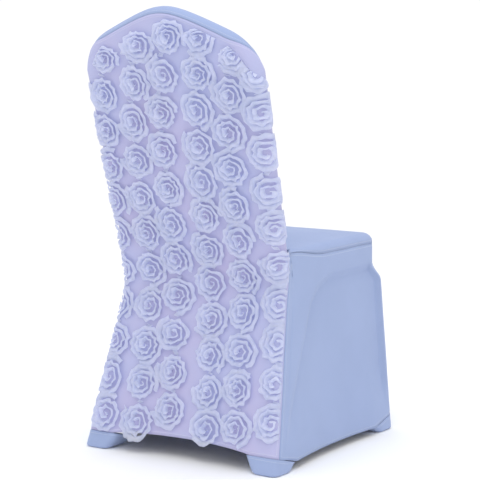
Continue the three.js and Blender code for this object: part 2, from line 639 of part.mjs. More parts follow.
const spandex = new THREE.MeshStandardMaterial({ color: 0xd3dcf6, roughness: 0.75, metalness: 0 });
const baseCloth = new THREE.MeshStandardMaterial({ color: 0xcfd0ef, roughness: 0.8, metalness: 0 });
const ribbon = new THREE.MeshStandardMaterial({ color: 0xe1e6fb, roughness: 0.45, metalness: 0 });

const cover = new THREE.Group();
function add(name, geometry, material) {
  geometry.computeVertexNormals();
  const mesh = new THREE.Mesh(geometry, material);
  mesh.name = name;
  cover.add(mesh);
}

add("back_panel", backPanel(), baseCloth);
add("inner_back_panel", innerBackPanel(), spandex);
add("seat_panel", seatPanel(), spandex);
add("side_panel_left", sidePanel(1), spandex);
add("side_panel_right", sidePanel(-1), spandex);
add("front_panel", frontPanel(), spandex);
add("foot_pocket_rear_left", footPocket(rearLeg, 1, 1), spandex);
add("foot_pocket_rear_right", footPocket(rearLeg, -1, 1), spandex);
add("foot_pocket_front_left", footPocket(frontCorner, 1, -1), spandex);
add("foot_pocket_front_right", footPocket(frontCorner, -1, -1), spandex);
COLUMNS.forEach((column, i) => add(`rosette_ribbon_${i + 1}`, rosetteColumn(column, i), ribbon));

// The origin: under the crown, half way through the backrest, where the cover hangs on the top rail.
const hang = onBack(new THREE.Vector3(0, CROWN_HEIGHT - CLOTH, PAD_THICKNESS / 2));
cover.position.copy(hang).negate();

export default cover;
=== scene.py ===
"""A fitted stretch chair cover whose back is covered in columns of gathered ribbon rosettes.

The cover is shown in the shape it takes over a banquet chair. The chair is not part of it, so it is hollow.
The panels are built as fine sheets with folded hems and sewn seams, and each rosette as one ribbon wound
into a spiral.

Shapes are worked out in millimetres with the floor at z = 0, the sitter facing -Y and +X on the sitter's
left, and then moved to the row frame in metres, whose origin is the point where the cover hangs on the
chair's top rail.
"""

from __future__ import annotations

import logging
import math
from dataclasses import dataclass, field
from enum import Enum
from typing import Any, Callable, Iterable, Mapping, Sequence

import bpy
import numpy as np
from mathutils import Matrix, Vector

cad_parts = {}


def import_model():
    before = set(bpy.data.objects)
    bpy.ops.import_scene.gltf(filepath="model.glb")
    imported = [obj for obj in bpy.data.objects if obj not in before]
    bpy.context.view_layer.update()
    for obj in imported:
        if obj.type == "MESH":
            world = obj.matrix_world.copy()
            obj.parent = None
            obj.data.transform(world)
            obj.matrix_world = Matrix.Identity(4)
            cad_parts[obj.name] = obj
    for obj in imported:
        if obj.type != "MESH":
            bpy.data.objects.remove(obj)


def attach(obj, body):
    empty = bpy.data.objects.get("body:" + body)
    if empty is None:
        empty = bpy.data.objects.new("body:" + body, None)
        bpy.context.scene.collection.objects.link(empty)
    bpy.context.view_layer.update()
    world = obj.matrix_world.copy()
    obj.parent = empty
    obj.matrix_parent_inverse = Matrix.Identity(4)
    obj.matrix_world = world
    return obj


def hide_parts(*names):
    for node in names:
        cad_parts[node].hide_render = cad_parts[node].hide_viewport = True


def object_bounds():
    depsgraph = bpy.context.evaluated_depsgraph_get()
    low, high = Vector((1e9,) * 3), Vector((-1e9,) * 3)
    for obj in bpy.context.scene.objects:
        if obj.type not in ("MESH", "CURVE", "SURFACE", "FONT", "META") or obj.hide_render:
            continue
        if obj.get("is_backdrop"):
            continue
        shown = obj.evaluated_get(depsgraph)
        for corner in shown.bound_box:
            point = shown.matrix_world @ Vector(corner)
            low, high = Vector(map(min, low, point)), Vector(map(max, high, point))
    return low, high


log = logging.getLogger("chair_cover")

Array = np.ndarray
BODY = "root"


class Slot(Enum):
    """Material slots of the record."""

    KNIT = "stretch_knit"
    BASE = "rosette_base_cloth"
    RIBBON = "rosette_ribbon"


# ---- small numeric helpers -----------------------------------------------------------------------


def smooth(t: Any) -> Array:
    """Eases from 0 to 1.

    Args:
        t: Values, limited to 0..1 first.

    Returns:
        The eased values.
    """
    t = np.clip(t, 0.0, 1.0)
    return t * t * (3.0 - 2.0 * t)


def mix(a: Any, b: Any, t: Any) -> Array:
    """Linear blend from a to b.

    Args:
        a: Value at t = 0.
        b: Value at t = 1.
        t: Share of b.

    Returns:
        The blended values.
    """
    return a + (np.asarray(b) - a) * t


def stack(x: Any, y: Any, z: Any) -> Array:
    """Joins three coordinate arrays into points.

    Args:
        x: X values.
        y: Y values.
        z: Z values.

    Returns:
        An array whose last axis holds x, y and z.
    """
    return np.stack(np.broadcast_arrays(*(np.asarray(v, float) for v in (x, y, z))), -1)


def linear_rgba(code: str) -> tuple[float, float, float, float]:
    """Turns an sRGB hex colour into the linear values that shaders use.

    Args:
        code: Six hex digits.

    Returns:
        Linear red, green and blue, and an alpha of 1.
    """
    values = []
    for start in (0, 2, 4):
        value = int(code[start : start + 2], 16) / 255.0
        values.append(value / 12.92 if value <= 0.04045 else ((value + 0.055) / 1.055) ** 2.4)
    return values[0], values[1], values[2], 1.0


# ---- the form that the chair gives the cover -----------------------------------------------------


@dataclass(frozen=True)
class Form:
    """Driving dimensions of the cover, in millimetres, and the surfaces that follow from them."""

    cloth: float = 1.8
    gap: float = 0.4
    pad_thickness: float = 34.0
    roll: float = 16.0
    crown_height: float = 924.0
    crown_slope: float = 0.467
    crown_softness: float = 59.0
    shoulder_x: float = 201.0
    shoulder: float = 55.0
    waist_height: float = 356.0
    waist_softness: float = 24.0
    waist_y: float = 197.0
    back_lean: float = 0.273
    leg_splay: float = 0.286
    waist_half_width: float = 203.0
    back_flare: float = 0.029
    leg_flare: float = 0.118
    seat_top: float = 440.0
    seat_edge: float = 419.0
    seat_crown: float = 3.0
    seat_roll: float = 22.0
    seat_half_width: float = 200.0
    seat_front_y: float = -192.0
    knee_top: float = 376.0
    knee_depth: float = 40.0
    knee_step: float = 9.0
    front_leg_flare: float = 0.057
    seat_corner: float = 33.0
    leg_corner: float = 18.0
    pocket_top: float = 36.0
    pocket_low: float = 14.0
    pocket_mouth: float = 80.0
    pocket_sole: float = 60.0
    pocket_corner: float = 16.0
    pocket_round: float = 6.0
    hem_rise_rear: float = 11.0
    hem_rise_side: float = 3.0
    hem_rise_front: float = 11.0
    panel_sag: float = 9.0
    side_recess: float = 10.0
    recess_fade: float = 115.0
    band_curve: float = 70.0
    band_top: tuple[float, float] = (85.0, 350.0)
    band_foot: tuple[float, float] = (250.0, 53.0)
    band_height: float = 43.0
    band_softness: float = 16.0
    seam_on_leg: float = 19.0
    seam_on_pad: float = 39.0
    seam_on_crown: float = 7.0
    front_seam_turn: float = 0.5

    @property
    def seat_join(self) -> float:
        """Height up the rear face where the seat meets the backrest."""
        return self.seat_top - 4.0

    @property
    def quarter(self) -> float:
        """Length of cloth round one rolled edge."""
        return math.pi / 2 * self.roll

    @property
    def side_end(self) -> float:
        """Length of cloth from the rear face to the front of a rear leg."""
        return self.quarter + self.pad_thickness - self.roll

    @property
    def whole_edge(self) -> float:
        """Length of cloth from the rear face round the edge to the front face."""
        return 2 * self.quarter + self.pad_thickness - 2 * self.roll

    def waisted(self, height: Any, below: float, above: float) -> Array:
        """A line that turns softly at the waist.

        Args:
            height: Heights up the rear face.
            below: Slope far below the waist.
            above: Slope far above it.

        Returns:
            Offsets from the line's place at the waist.
        """
        rise = np.asarray(height, float) - self.waist_height
        turned = np.hypot(rise, self.waist_softness) - self.waist_softness
        return (above + below) / 2 * rise + (above - below) / 2 * turned

    def rear_y(self, height: Any) -> Array:
        """Y of the rear face by height."""
        return self.waist_y + self.waisted(height, -self.leg_splay, self.back_lean)

    def half_width(self, height: Any) -> Array:
        """Half of the back's width by height."""
        return self.waist_half_width + self.waisted(height, -self.leg_flare, self.back_flare)

    def mouth_drop(self, depth: Any) -> Array:
        """How far a foot pocket's tilted mouth has dropped at a depth from its high side."""
        return (self.pocket_top - self.pocket_low) * np.clip(np.asarray(depth) / self.pocket_mouth, 0, 1)

    def on_back(self, x: Any, height: Any, depth: Any) -> Array:
        """Places points given by x, height up the rear face and depth in front of it.

        Args:
            x: X values.
            height: Heights up the rear face.
            depth: Depths, square to the face.

        Returns:
            Points in millimetres.
        """
        height = np.asarray(height, float)
        depth = np.asarray(depth, float)
        rise = height - self.waist_height
        slope = (self.back_lean - self.leg_splay) / 2
        slope = slope + (self.back_lean + self.leg_splay) / 2 * rise / np.hypot(rise, self.waist_softness)
        slope = slope * smooth((height - self.pocket_top) / 160)
        length = np.hypot(1.0, slope)
        near_hem = np.clip(1 - (height - self.pocket_top) / 200, 0, 1) ** 2
        drop = self.mouth_drop(depth) * near_hem
        return stack(x, self.rear_y(height) - depth / length, height + depth * slope / length - drop)

    def crown_at(self, x: Any) -> Array:
        """Height of the crown by x."""
        return self.crown_height - self.crown_slope * (np.hypot(x, self.crown_softness) - self.crown_softness)

    def side_seam(self, height: Any) -> Array:
        """How far the back panel wraps round the sides, by height."""
        return mix(self.seam_on_leg, self.seam_on_pad, smooth((height - 330) / (self.seat_join - 330)))

    def edge_profile(self, length: Any, inward: float, rolled: bool = True) -> tuple[Array, Array]:
        """The profile from the rear face round the edge to the front face.

        Args:
            length: Length along the cloth from where the edge starts to roll.
            inward: Distance in from the cloth's outer face.
            rolled: Whether the front edge is rolled too.

        Returns:
            How far out and how deep the profile lies.
        """
        length = np.asarray(length, float)
        radius = self.roll - inward
        turn = np.clip(length / self.roll, 0, math.pi / 2)
        straight = np.maximum(self.roll + length - self.quarter, self.roll)
        out = np.where(length <= self.quarter, radius * np.sin(turn), radius)
        depth = np.where(length <= self.quarter, self.roll - radius * np.cos(turn), straight)
        if rolled:
            start = self.pad_thickness - self.roll
            angle = np.clip((straight - start) / self.roll, 0, math.pi / 2)
            past = straight > start
            out = np.where(past, radius * np.cos(angle), out)
            depth = np.where(past, start + radius * np.sin(angle), depth)
        return out, depth

    def on_side_edge(self, height: Any, length: Any, inward: float, rolled: bool = True) -> Array:
        """Points round the straight side edge at +X."""
        out, depth = self.edge_profile(length, inward, rolled)
        return self.on_back(self.half_width(height) + out - self.roll, height, depth)

    def sag(self, near: Any, width: Any, height: Any) -> Array:
        """How far a taut panel draws in between two legs, near the hem."""
        t = np.clip((near - self.pocket_mouth) / (width - 2 * self.pocket_mouth), 0, 1)
        return self.panel_sag * np.sin(math.pi * t) * smooth((self.waist_height - height) / 300)

    def rear_bulge(self, x: Any, height: Any) -> Array:
        """How far the rear face stands out from a flat one."""
        half = self.half_width(height)
        across = np.clip(1 - (x / (half - self.roll)) ** 2, 0, 1)
        crown = 6 * smooth((height - self.waist_height) / 200)
        crown = crown * smooth((self.crown_at(x) - self.roll - height) / 60)
        return across * crown - self.sag(half - np.abs(x), 2 * half, height)

    def front_corner(self, z: Any) -> tuple[Array, Array, Array]:
        """The front corner at +X: where its faces would meet, and its radius."""
        knee = smooth((self.knee_top - z) / self.knee_depth)
        down = np.maximum(0, self.knee_top - self.knee_depth / 2 - z)
        out = self.knee_step * knee + self.front_leg_flare * down
        radius = mix(self.seat_corner, self.leg_corner, knee)
        return self.seat_half_width + out, self.seat_front_y - out, radius

    def on_front_corner(self, z: Any, turn: Any, inward: float) -> Array:
        """Points on the front corner's curve.

        Args:
            z: Heights.
            turn: 0 where the curve leaves the side, 1 where it reaches the front.
            inward: Distance in from the cloth's outer face.

        Returns:
            Points in millimetres.
        """
        z = np.asarray(z, float)
        x, y, radius = self.front_corner(z)
        angle = np.asarray(turn) * math.pi / 2
        near_hem = np.clip(1 - (z - self.pocket_top) / 200, 0, 1) ** 2
        drop = self.mouth_drop(radius * (1 - np.sin(angle))) * near_hem
        reach = radius - inward
        return stack(x - radius + reach * np.cos(angle), y + radius - reach * np.sin(angle), z - drop)

    def recess(self, p: Array, from_top: Any, from_front: Any) -> Array:
        """How far the taut cloth of a side lies inside the bands along the seat and the rear leg.

        Args:
            p: Points on the side.
            from_top: Their distances below the seat's seam.
            from_front: Their distances behind the front leg's corner.

        Returns:
            Depths of the recess.
        """
        leg = np.array(self.band_foot) - np.array(self.band_top)
        leg = leg / np.linalg.norm(leg)
        ahead = -(leg[1] * (self.band_top[0] - p[..., 1]) - leg[0] * (self.band_top[1] - p[..., 2]))
        below = from_top - self.band_height
        a = np.maximum(0, self.band_curve - ahead)
        b = np.maximum(0, self.band_curve - below)
        rounded = self.band_curve - np.hypot(a, b)
        inset = np.where((a > 0) & (b > 0), rounded, np.minimum(ahead, below))
        inset = np.minimum(inset, from_front)
        fade = smooth((p[..., 2] - self.pocket_top) / self.recess_fade)
        return self.side_recess * smooth(inset / self.band_softness) * fade

    def seat_seam(self, t: Any) -> Array:
        """Height of the seam between seat and side, from the backrest to the front."""
        return mix(self.seat_join - self.gap, self.seat_edge, smooth(np.asarray(t) / 0.45))

    def on_side(self, up: Array, strip: int, span: int, front: int, inward: float) -> Array:
        """A side panel at +X, from the rear seam to the front corner's seam.

        Args:
            up: Shares of the way from the hem to the seat.
            strip: Steps along the rear leg's side.
            span: Steps across the open side.
            front: Steps round the front corner.
            inward: Distance in from the cloth's outer face.

        Returns:
            A grid of points, hem first.
        """
        height = mix(self.pocket_top, self.seat_join - self.gap, up)[:, None]
        corner = mix(self.pocket_top, self.seat_edge, up)[:, None]
        t = np.arange(strip)[None] / strip
        round_leg = mix(self.side_seam(height) + self.gap, self.side_end, t)
        first = self.on_side_edge(height, round_leg, inward, False)
        t = np.arange(span)[None] / span
        rear = self.on_side_edge(height, self.side_end, inward, False)
        ahead_corner = self.on_front_corner(corner, 0.0, inward)
        middle = rear + (ahead_corner - rear) * t[..., None]
        depth = self.pad_thickness + rear[..., 1] - middle[..., 1]
        ahead = self.front_corner(corner)[2] + middle[..., 1] - ahead_corner[..., 1]
        hem = np.maximum(self.pocket_top - self.mouth_drop(depth), self.pocket_top - self.mouth_drop(ahead))
        share = depth / (depth + ahead)
        arch = np.clip(1 - (2 * share - 1) ** 2, 0, 1) ** 0.75
        hem = np.maximum(hem, self.pocket_low) + self.hem_rise_side * arch
        middle[..., 2] = mix(hem, self.seat_seam(t), up[:, None])
        from_front = middle[..., 1] - ahead_corner[..., 1] + 8
        inset = self.recess(middle, self.seat_seam(t) - middle[..., 2], from_front)
        middle[..., 0] -= inset + self.sag(ahead, ahead + depth, middle[..., 2])
        t = np.arange(front + 1)[None] / front
        last = self.on_front_corner(corner, self.front_seam_turn * t, inward)
        return np.concatenate([first, middle, last], 1)

    @property
    def hang(self) -> Array:
        """The row frame's origin, in this form's own millimetres."""
        return self.on_back(0.0, self.crown_height - self.cloth, self.pad_thickness / 2)


FORM = Form()


@dataclass(frozen=True)
class Outline:
    """The back's outline seen face on, from the hem at +X over the crown to the hem at -X."""

    legs: int = 56
    pad: int = 56
    shoulder: int = 10
    crown: int = 26

    def half(self) -> tuple[Array, Array, Array, Array]:
        """The half at +X.

        Returns:
            X, height, outward direction and the length that the seam lies round the edge.
        """
        f = FORM
        corner = np.array([f.shoulder_x, float(f.crown_at(f.shoulder_x))])
        start_h = corner[1] - f.shoulder
        end_x = corner[0] - f.shoulder
        start = np.array([float(f.half_width(start_h)), start_h])
        end = np.array([end_x, float(f.crown_at(end_x))])
        leg_h = mix(f.pocket_top, f.seat_join, np.linspace(0, 1, self.legs + 1))
        pad_h = np.linspace(f.seat_join, start_h, self.pad + 1)[1:]
        side_h = np.concatenate([leg_h, pad_h])
        t = np.linspace(0, 1, 2 * self.shoulder + 1)[1:, None]
        curve = (1 - t) ** 2 * start + 2 * t * (1 - t) * corner + t**2 * end
        top_x = np.linspace(end_x, 0, self.crown + 1)[1:]
        x = np.concatenate([f.half_width(side_h), curve[:, 0], top_x])
        h = np.concatenate([side_h, curve[:, 1], f.crown_at(top_x)])
        along = np.stack([np.gradient(x), np.gradient(h)], -1)
        along /= np.linalg.norm(along, axis=1)[:, None]
        out = np.stack([along[:, 1], -along[:, 0]], -1)
        out[: len(side_h) - 1] = (1, 0)
        out[-1] = (0, 1)
        seam = f.side_seam(h)
        k = np.arange(len(x)) - len(side_h) + 1
        over = mix(f.seam_on_pad, f.seam_on_crown, smooth(k / (2 * self.shoulder)))
        seam = np.where(k > 0, over, seam)
        return x, h, out, seam

    @property
    def side_count(self) -> int:
        """Steps from the hem to the middle of the shoulder."""
        return self.legs + self.pad + self.shoulder

    def whole(self) -> tuple[Array, Array, Array, Array]:
        """The whole outline, in the same terms as its half."""
        x, h, out, seam = self.half()
        back = slice(-2, None, -1)
        flipped = out[back] * (-1, 1)
        return (
            np.concatenate([x, -x[back]]),
            np.concatenate([h, h[back]]),
            np.concatenate([out, flipped]),
            np.concatenate([seam, seam[back]]),
        )


# ---- sheets of cloth -----------------------------------------------------------------------------


@dataclass
class Cloth:
    """A sheet with an outer and an inner face, ready to become a mesh.

    Attributes:
        outer: Points of the outer face.
        inner: The same points on the inner face.
        quads: Faces of the outer face, four point numbers each.
        uv: Place on the flat cut, in metres.
        seam: Distance to the nearest sewn edge, in millimetres.
        run: Length along that edge, in millimetres.
    """

    outer: Array
    inner: Array
    quads: Array
    uv: Array
    seam: Array
    run: Array

    def relief(self, height: Array) -> None:
        """Moves both faces along the cloth's own normal.

        Args:
            height: Millimetres outward, one value a point.
        """
        normal = self.outer - self.inner
        normal /= np.maximum(np.linalg.norm(normal, axis=-1), 1e-6)[:, None]
        self.outer = self.outer + normal * height[:, None]
        self.inner = self.inner + normal * height[:, None]

    def mirrored(self) -> "Cloth":
        """The same sheet on the other side of the chair."""
        flip = np.array([-1.0, 1.0, 1.0])
        return Cloth(self.outer * flip, self.inner * flip, self.quads[:, ::-1], self.uv, self.seam, self.run)

    def build(self, name: str, material: bpy.types.Material) -> bpy.types.Object:
        """Makes the closed mesh.

        Args:
            name: Name of the new object.
            material: Its material.

        Returns:
            The object, in the row frame.
        """
        count = len(self.outer)
        edges: dict[tuple[int, int], None] = {}
        for a, b, c, d in self.quads.tolist():
            for edge in ((a, b), (b, c), (c, d), (d, a)):
                if edge[::-1] in edges:
                    del edges[edge[::-1]]
                else:
                    edges[edge] = None
        rim = np.array([(b, a, a + count, b + count) for a, b in edges], int).reshape(-1, 4)
        faces = np.concatenate([self.quads, self.quads[:, ::-1] + count, rim])
        points = np.concatenate([self.outer, self.inner])
        uv = np.concatenate([self.uv, self.uv])
        sewn = np.stack([np.tile(self.run, 2), np.tile(self.seam, 2)], -1) / 1000
        return make_mesh(name, points, faces, {"Cloth": uv, "Seam": sewn}, material)


def make_mesh(
    name: str, points: Array, faces: Array, maps: Mapping[str, Array], material: bpy.types.Material
) -> bpy.types.Object:
    """Makes a smooth-shaded mesh object in the row frame.

    Args:
        name: Name of the new object.
        points: Points in the form's millimetres.
        faces: Point numbers, one row a face.
        maps: UV maps by name, one pair a point.
        material: Material of every face.

    Returns:
        The new object, linked to the scene.
    """
    mesh = bpy.data.meshes.new(name)
    co = (points - FORM.hang) / 1000
    mesh.from_pydata(co.tolist(), [], faces.tolist())
    loops = np.zeros(len(mesh.loops), np.int32)
    mesh.loops.foreach_get("vertex_index", loops)
    for label, values in maps.items():
        layer = mesh.uv_layers.new(name=label)
        layer.data.foreach_set("uv", values[loops].astype(np.float32).ravel())
    mesh.polygons.foreach_set("use_smooth", np.ones(len(mesh.polygons), bool))
    mesh.materials.append(material)
    mesh.update()
    made = bpy.data.objects.new(name, mesh)
    bpy.context.scene.collection.objects.link(made)
    return made


def grid_quads(rows: int, columns: int, flip: bool = False) -> Array:
    """Faces of a grid.

    Args:
        rows: Rows of points.
        columns: Points in each row.
        flip: Turns every face round.

    Returns:
        Four point numbers a face.
    """
    start = (np.arange(rows - 1)[:, None] * columns + np.arange(columns - 1)[None]).ravel()
    quads = np.stack([start, start + 1, start + 1 + columns, start + columns], -1)
    return quads[:, ::-1] if flip else quads


def lengths(grid: Array, axis: int) -> Array:
    """Length along one axis of a grid, from its start to each point."""
    step = np.linalg.norm(np.diff(grid, axis=axis), axis=-1)
    start = np.zeros_like(np.take(step, [0], axis=axis))
    return np.concatenate([start, np.cumsum(step, axis=axis)], axis=axis)


def grid_cloth(points_at: Callable[[float], Array], flip: bool) -> Cloth:
    """A sheet from a grid of points.

    Args:
        points_at: Gives the grid at a distance in from the outer face.
        flip: Turns the faces round.

    Returns:
        The sheet, with its seams along all four edges.
    """
    outer = points_at(0.0)
    inner = points_at(FORM.cloth)
    rows, columns = outer.shape[:2]
    across = lengths(outer, 1)
    upward = lengths(outer, 0)
    ends = np.stack([across, across[:, -1:] - across, upward, upward[-1:] - upward])
    nearest = ends.argmin(0)
    run = np.where(nearest < 2, upward, across)
    uv = np.stack([across, upward], -1).reshape(-1, 2) / 1000
    return Cloth(
        outer.reshape(-1, 3),
        inner.reshape(-1, 3),
        grid_quads(rows, columns, flip),
        uv,
        ends.min(0).ravel(),
        run.ravel(),
    )


def coons(bottom: Array, top: Array, left: Array, right: Array) -> Array:
    """Fills a four-sided outline with a grid.

    Args:
        bottom: Points along the bottom.
        top: Points along the top, the same way.
        left: Points up the left side.
        right: Points up the right side.

    Returns:
        The grid, bottom row first.
    """
    u = np.linspace(0, 1, len(bottom))[None, :, None]
    v = np.linspace(0, 1, len(left))[:, None, None]
    corners = (1 - u) * (1 - v) * bottom[0] + u * (1 - v) * bottom[-1]
    corners = corners + (1 - u) * v * top[0] + u * v * top[-1]
    return mix(bottom[None], top[None], v) + mix(left[:, None], right[:, None], u) - corners


@dataclass(frozen=True)
class BackFace:
    """One face of the back: a filled middle, and a strip that rolls round its edge to the seam."""

    outline: Outline
    inner_side: bool
    rings: int = 9

    def _flat(self, x: Array, h: Array, out: Array, length: Array, inward: float) -> Array:
        """Places the outline's points, moved outward and back by the rolled edge's profile."""
        reach, depth = FORM.edge_profile(length, inward)
        move = (reach - FORM.roll)[:, None] * out
        return stack(x + move[:, 0], h + move[:, 1], depth)

    def _bulge(self, x: Array, h: Array) -> Array:
        """How far this face stands out from a flat one."""
        if not self.inner_side:
            return FORM.rear_bulge(x, h)
        across = np.clip(1 - (x / (FORM.half_width(h) - FORM.roll)) ** 2, 0, 1)
        up = (h - FORM.seat_top) / (FORM.crown_at(x) - FORM.seat_top)
        return -7 * across * smooth(up * 4) * smooth((1 - up) * 4)

    def cloth(self) -> Cloth:
        """Builds the sheet.

        Returns:
            The sheet, with the rolled strip's seam and the hem marked for stitching.
        """
        f, o = FORM, self.outline
        x, h, out, seam = o.whole()
        first = o.legs if self.inner_side else 0
        keep = slice(first, len(x) - first)
        x, h, out, seam = x[keep], h[keep], out[keep], seam[keep]
        low = f.seat_join + f.gap
        if self.inner_side:
            h = np.maximum(h, low)
        sides = o.side_count - first
        wrap = f.whole_edge - seam - f.gap if self.inner_side else seam
        columns = len(x) - 2 * sides

        def flat_at(t: float, inward: float) -> Array:
            """The edge strip at a share of its width."""
            length = t * wrap
            return self._flat(x, h, out, f.whole_edge - length if self.inner_side else length, inward)

        def points_at(inward: float) -> tuple[Array, Array]:
            """The whole face at a distance in from the cloth's outer side."""
            start = flat_at(0.0, inward)
            share = 1 - 2 * np.arange(columns) / (columns - 1)
            if self.inner_side:
                edge = float(f.half_width(f.seat_join)) - f.roll
                bottom = stack(share * edge, low, f.pad_thickness - inward)
            else:
                edge = float(f.half_width(f.pocket_top)) - f.roll
                arch = np.clip(1 - (1.3 * share) ** 2, 0, 1) ** 0.75
                bottom = stack(share * edge, f.pocket_top + f.hem_rise_rear * arch, inward)
            rows = coons(bottom, start[sides : len(x) - sides], start[: sides + 1], start[::-1][: sides + 1])
            rows[..., 2] -= self._bulge(rows[..., 0], rows[..., 1])
            loops = [flat_at(k / self.rings, inward) for k in range(1, self.rings + 1)]
            flat = np.concatenate([rows.reshape(-1, 3), *loops])
            return flat, f.on_back(flat[:, 0], flat[:, 1], flat[:, 2])

        flat, outer = points_at(0.0)
        inner = points_at(f.cloth)[1]
        rows = sides + 1
        quads = [grid_quads(rows, columns, self.inner_side)]
        number = np.arange(rows * columns).reshape(rows, columns)
        before = np.concatenate([number[:, 0], number[-1, 1:-1], number[::-1, -1]])
        for ring in range(self.rings):
            after = rows * columns + ring * len(x) + np.arange(len(x))
            strip = np.stack([before[:-1], before[1:], after[1:], after[:-1]], -1)
            quads.append(strip[:, ::-1] if self.inner_side else strip)
            before = after
        # distances to the seam and to the hem, and the place on the flat cut
        filled = rows * columns
        steps = np.arange(1, self.rings + 1) / self.rings
        to_seam = np.concatenate([np.full(filled, 60.0), ((1 - steps[:, None]) * wrap).ravel()])
        turned = np.concatenate([np.zeros(filled), (steps[:, None] * wrap).ravel()])
        tiled = [np.concatenate([np.zeros(filled), np.tile(v, self.rings)]) for v in (out[:, 0], out[:, 1])]
        base = np.concatenate([flat[:filled, :2], np.tile(flat_at(0.0, 0.0)[:, :2], (self.rings, 1))])
        uv = (base + np.stack(tiled, -1) * turned[:, None]) / 1000
        under = np.repeat(flat[None, :columns, 1], rows, 0).ravel()
        edge_hem = low if self.inner_side else f.pocket_top
        hem_at = np.concatenate([under, np.full(len(flat) - filled, edge_hem)])
        to_hem = flat[:, 1] - hem_at
        border = np.concatenate([[0], np.cumsum(np.hypot(np.diff(x), np.diff(h)))])
        run = np.concatenate([flat[:filled, 0] + 400, np.tile(border, self.rings)])
        run = np.where(to_hem < to_seam, flat[:, 0] + 400, run)
        return Cloth(outer, inner, np.concatenate(quads), uv, np.minimum(to_seam, to_hem), run)


# ---- finishes ------------------------------------------------------------------------------------


def add_node(
    tree: bpy.types.NodeTree,
    kind: str,
    settings: Mapping[str, Any] | None = None,
    values: Mapping[str, Any] | None = None,
    links: Mapping[str, Any] | None = None,
) -> bpy.types.Node:
    """Adds a node with its settings and links.

    Args:
        tree: The node tree.
        kind: Type of node.
        settings: Properties to set.
        values: Values of unlinked inputs.
        links: Output sockets to join to inputs, by input name or number.

    Returns:
        The new node.
    """
    node = tree.nodes.new(kind)
    for key, value in (settings or {}).items():
        setattr(node, key, value)
    for key, value in (values or {}).items():
        node.inputs[key].default_value = value
    for key, socket in (links or {}).items():
        tree.links.new(socket, node.inputs[key])
    return node


def maths(tree: bpy.types.NodeTree, operation: str, *terms: Any) -> Any:
    """Adds one Math node.

    Args:
        tree: The node tree.
        operation: The operation's name.
        terms: Numbers or output sockets.

    Returns:
        Its output socket.
    """
    node = add_node(tree, "ShaderNodeMath", {"operation": operation})
    for number, term in enumerate(terms):
        if isinstance(term, (int, float)):
            node.inputs[number].default_value = term
        else:
            tree.links.new(term, node.inputs[number])
    return node.outputs[0]


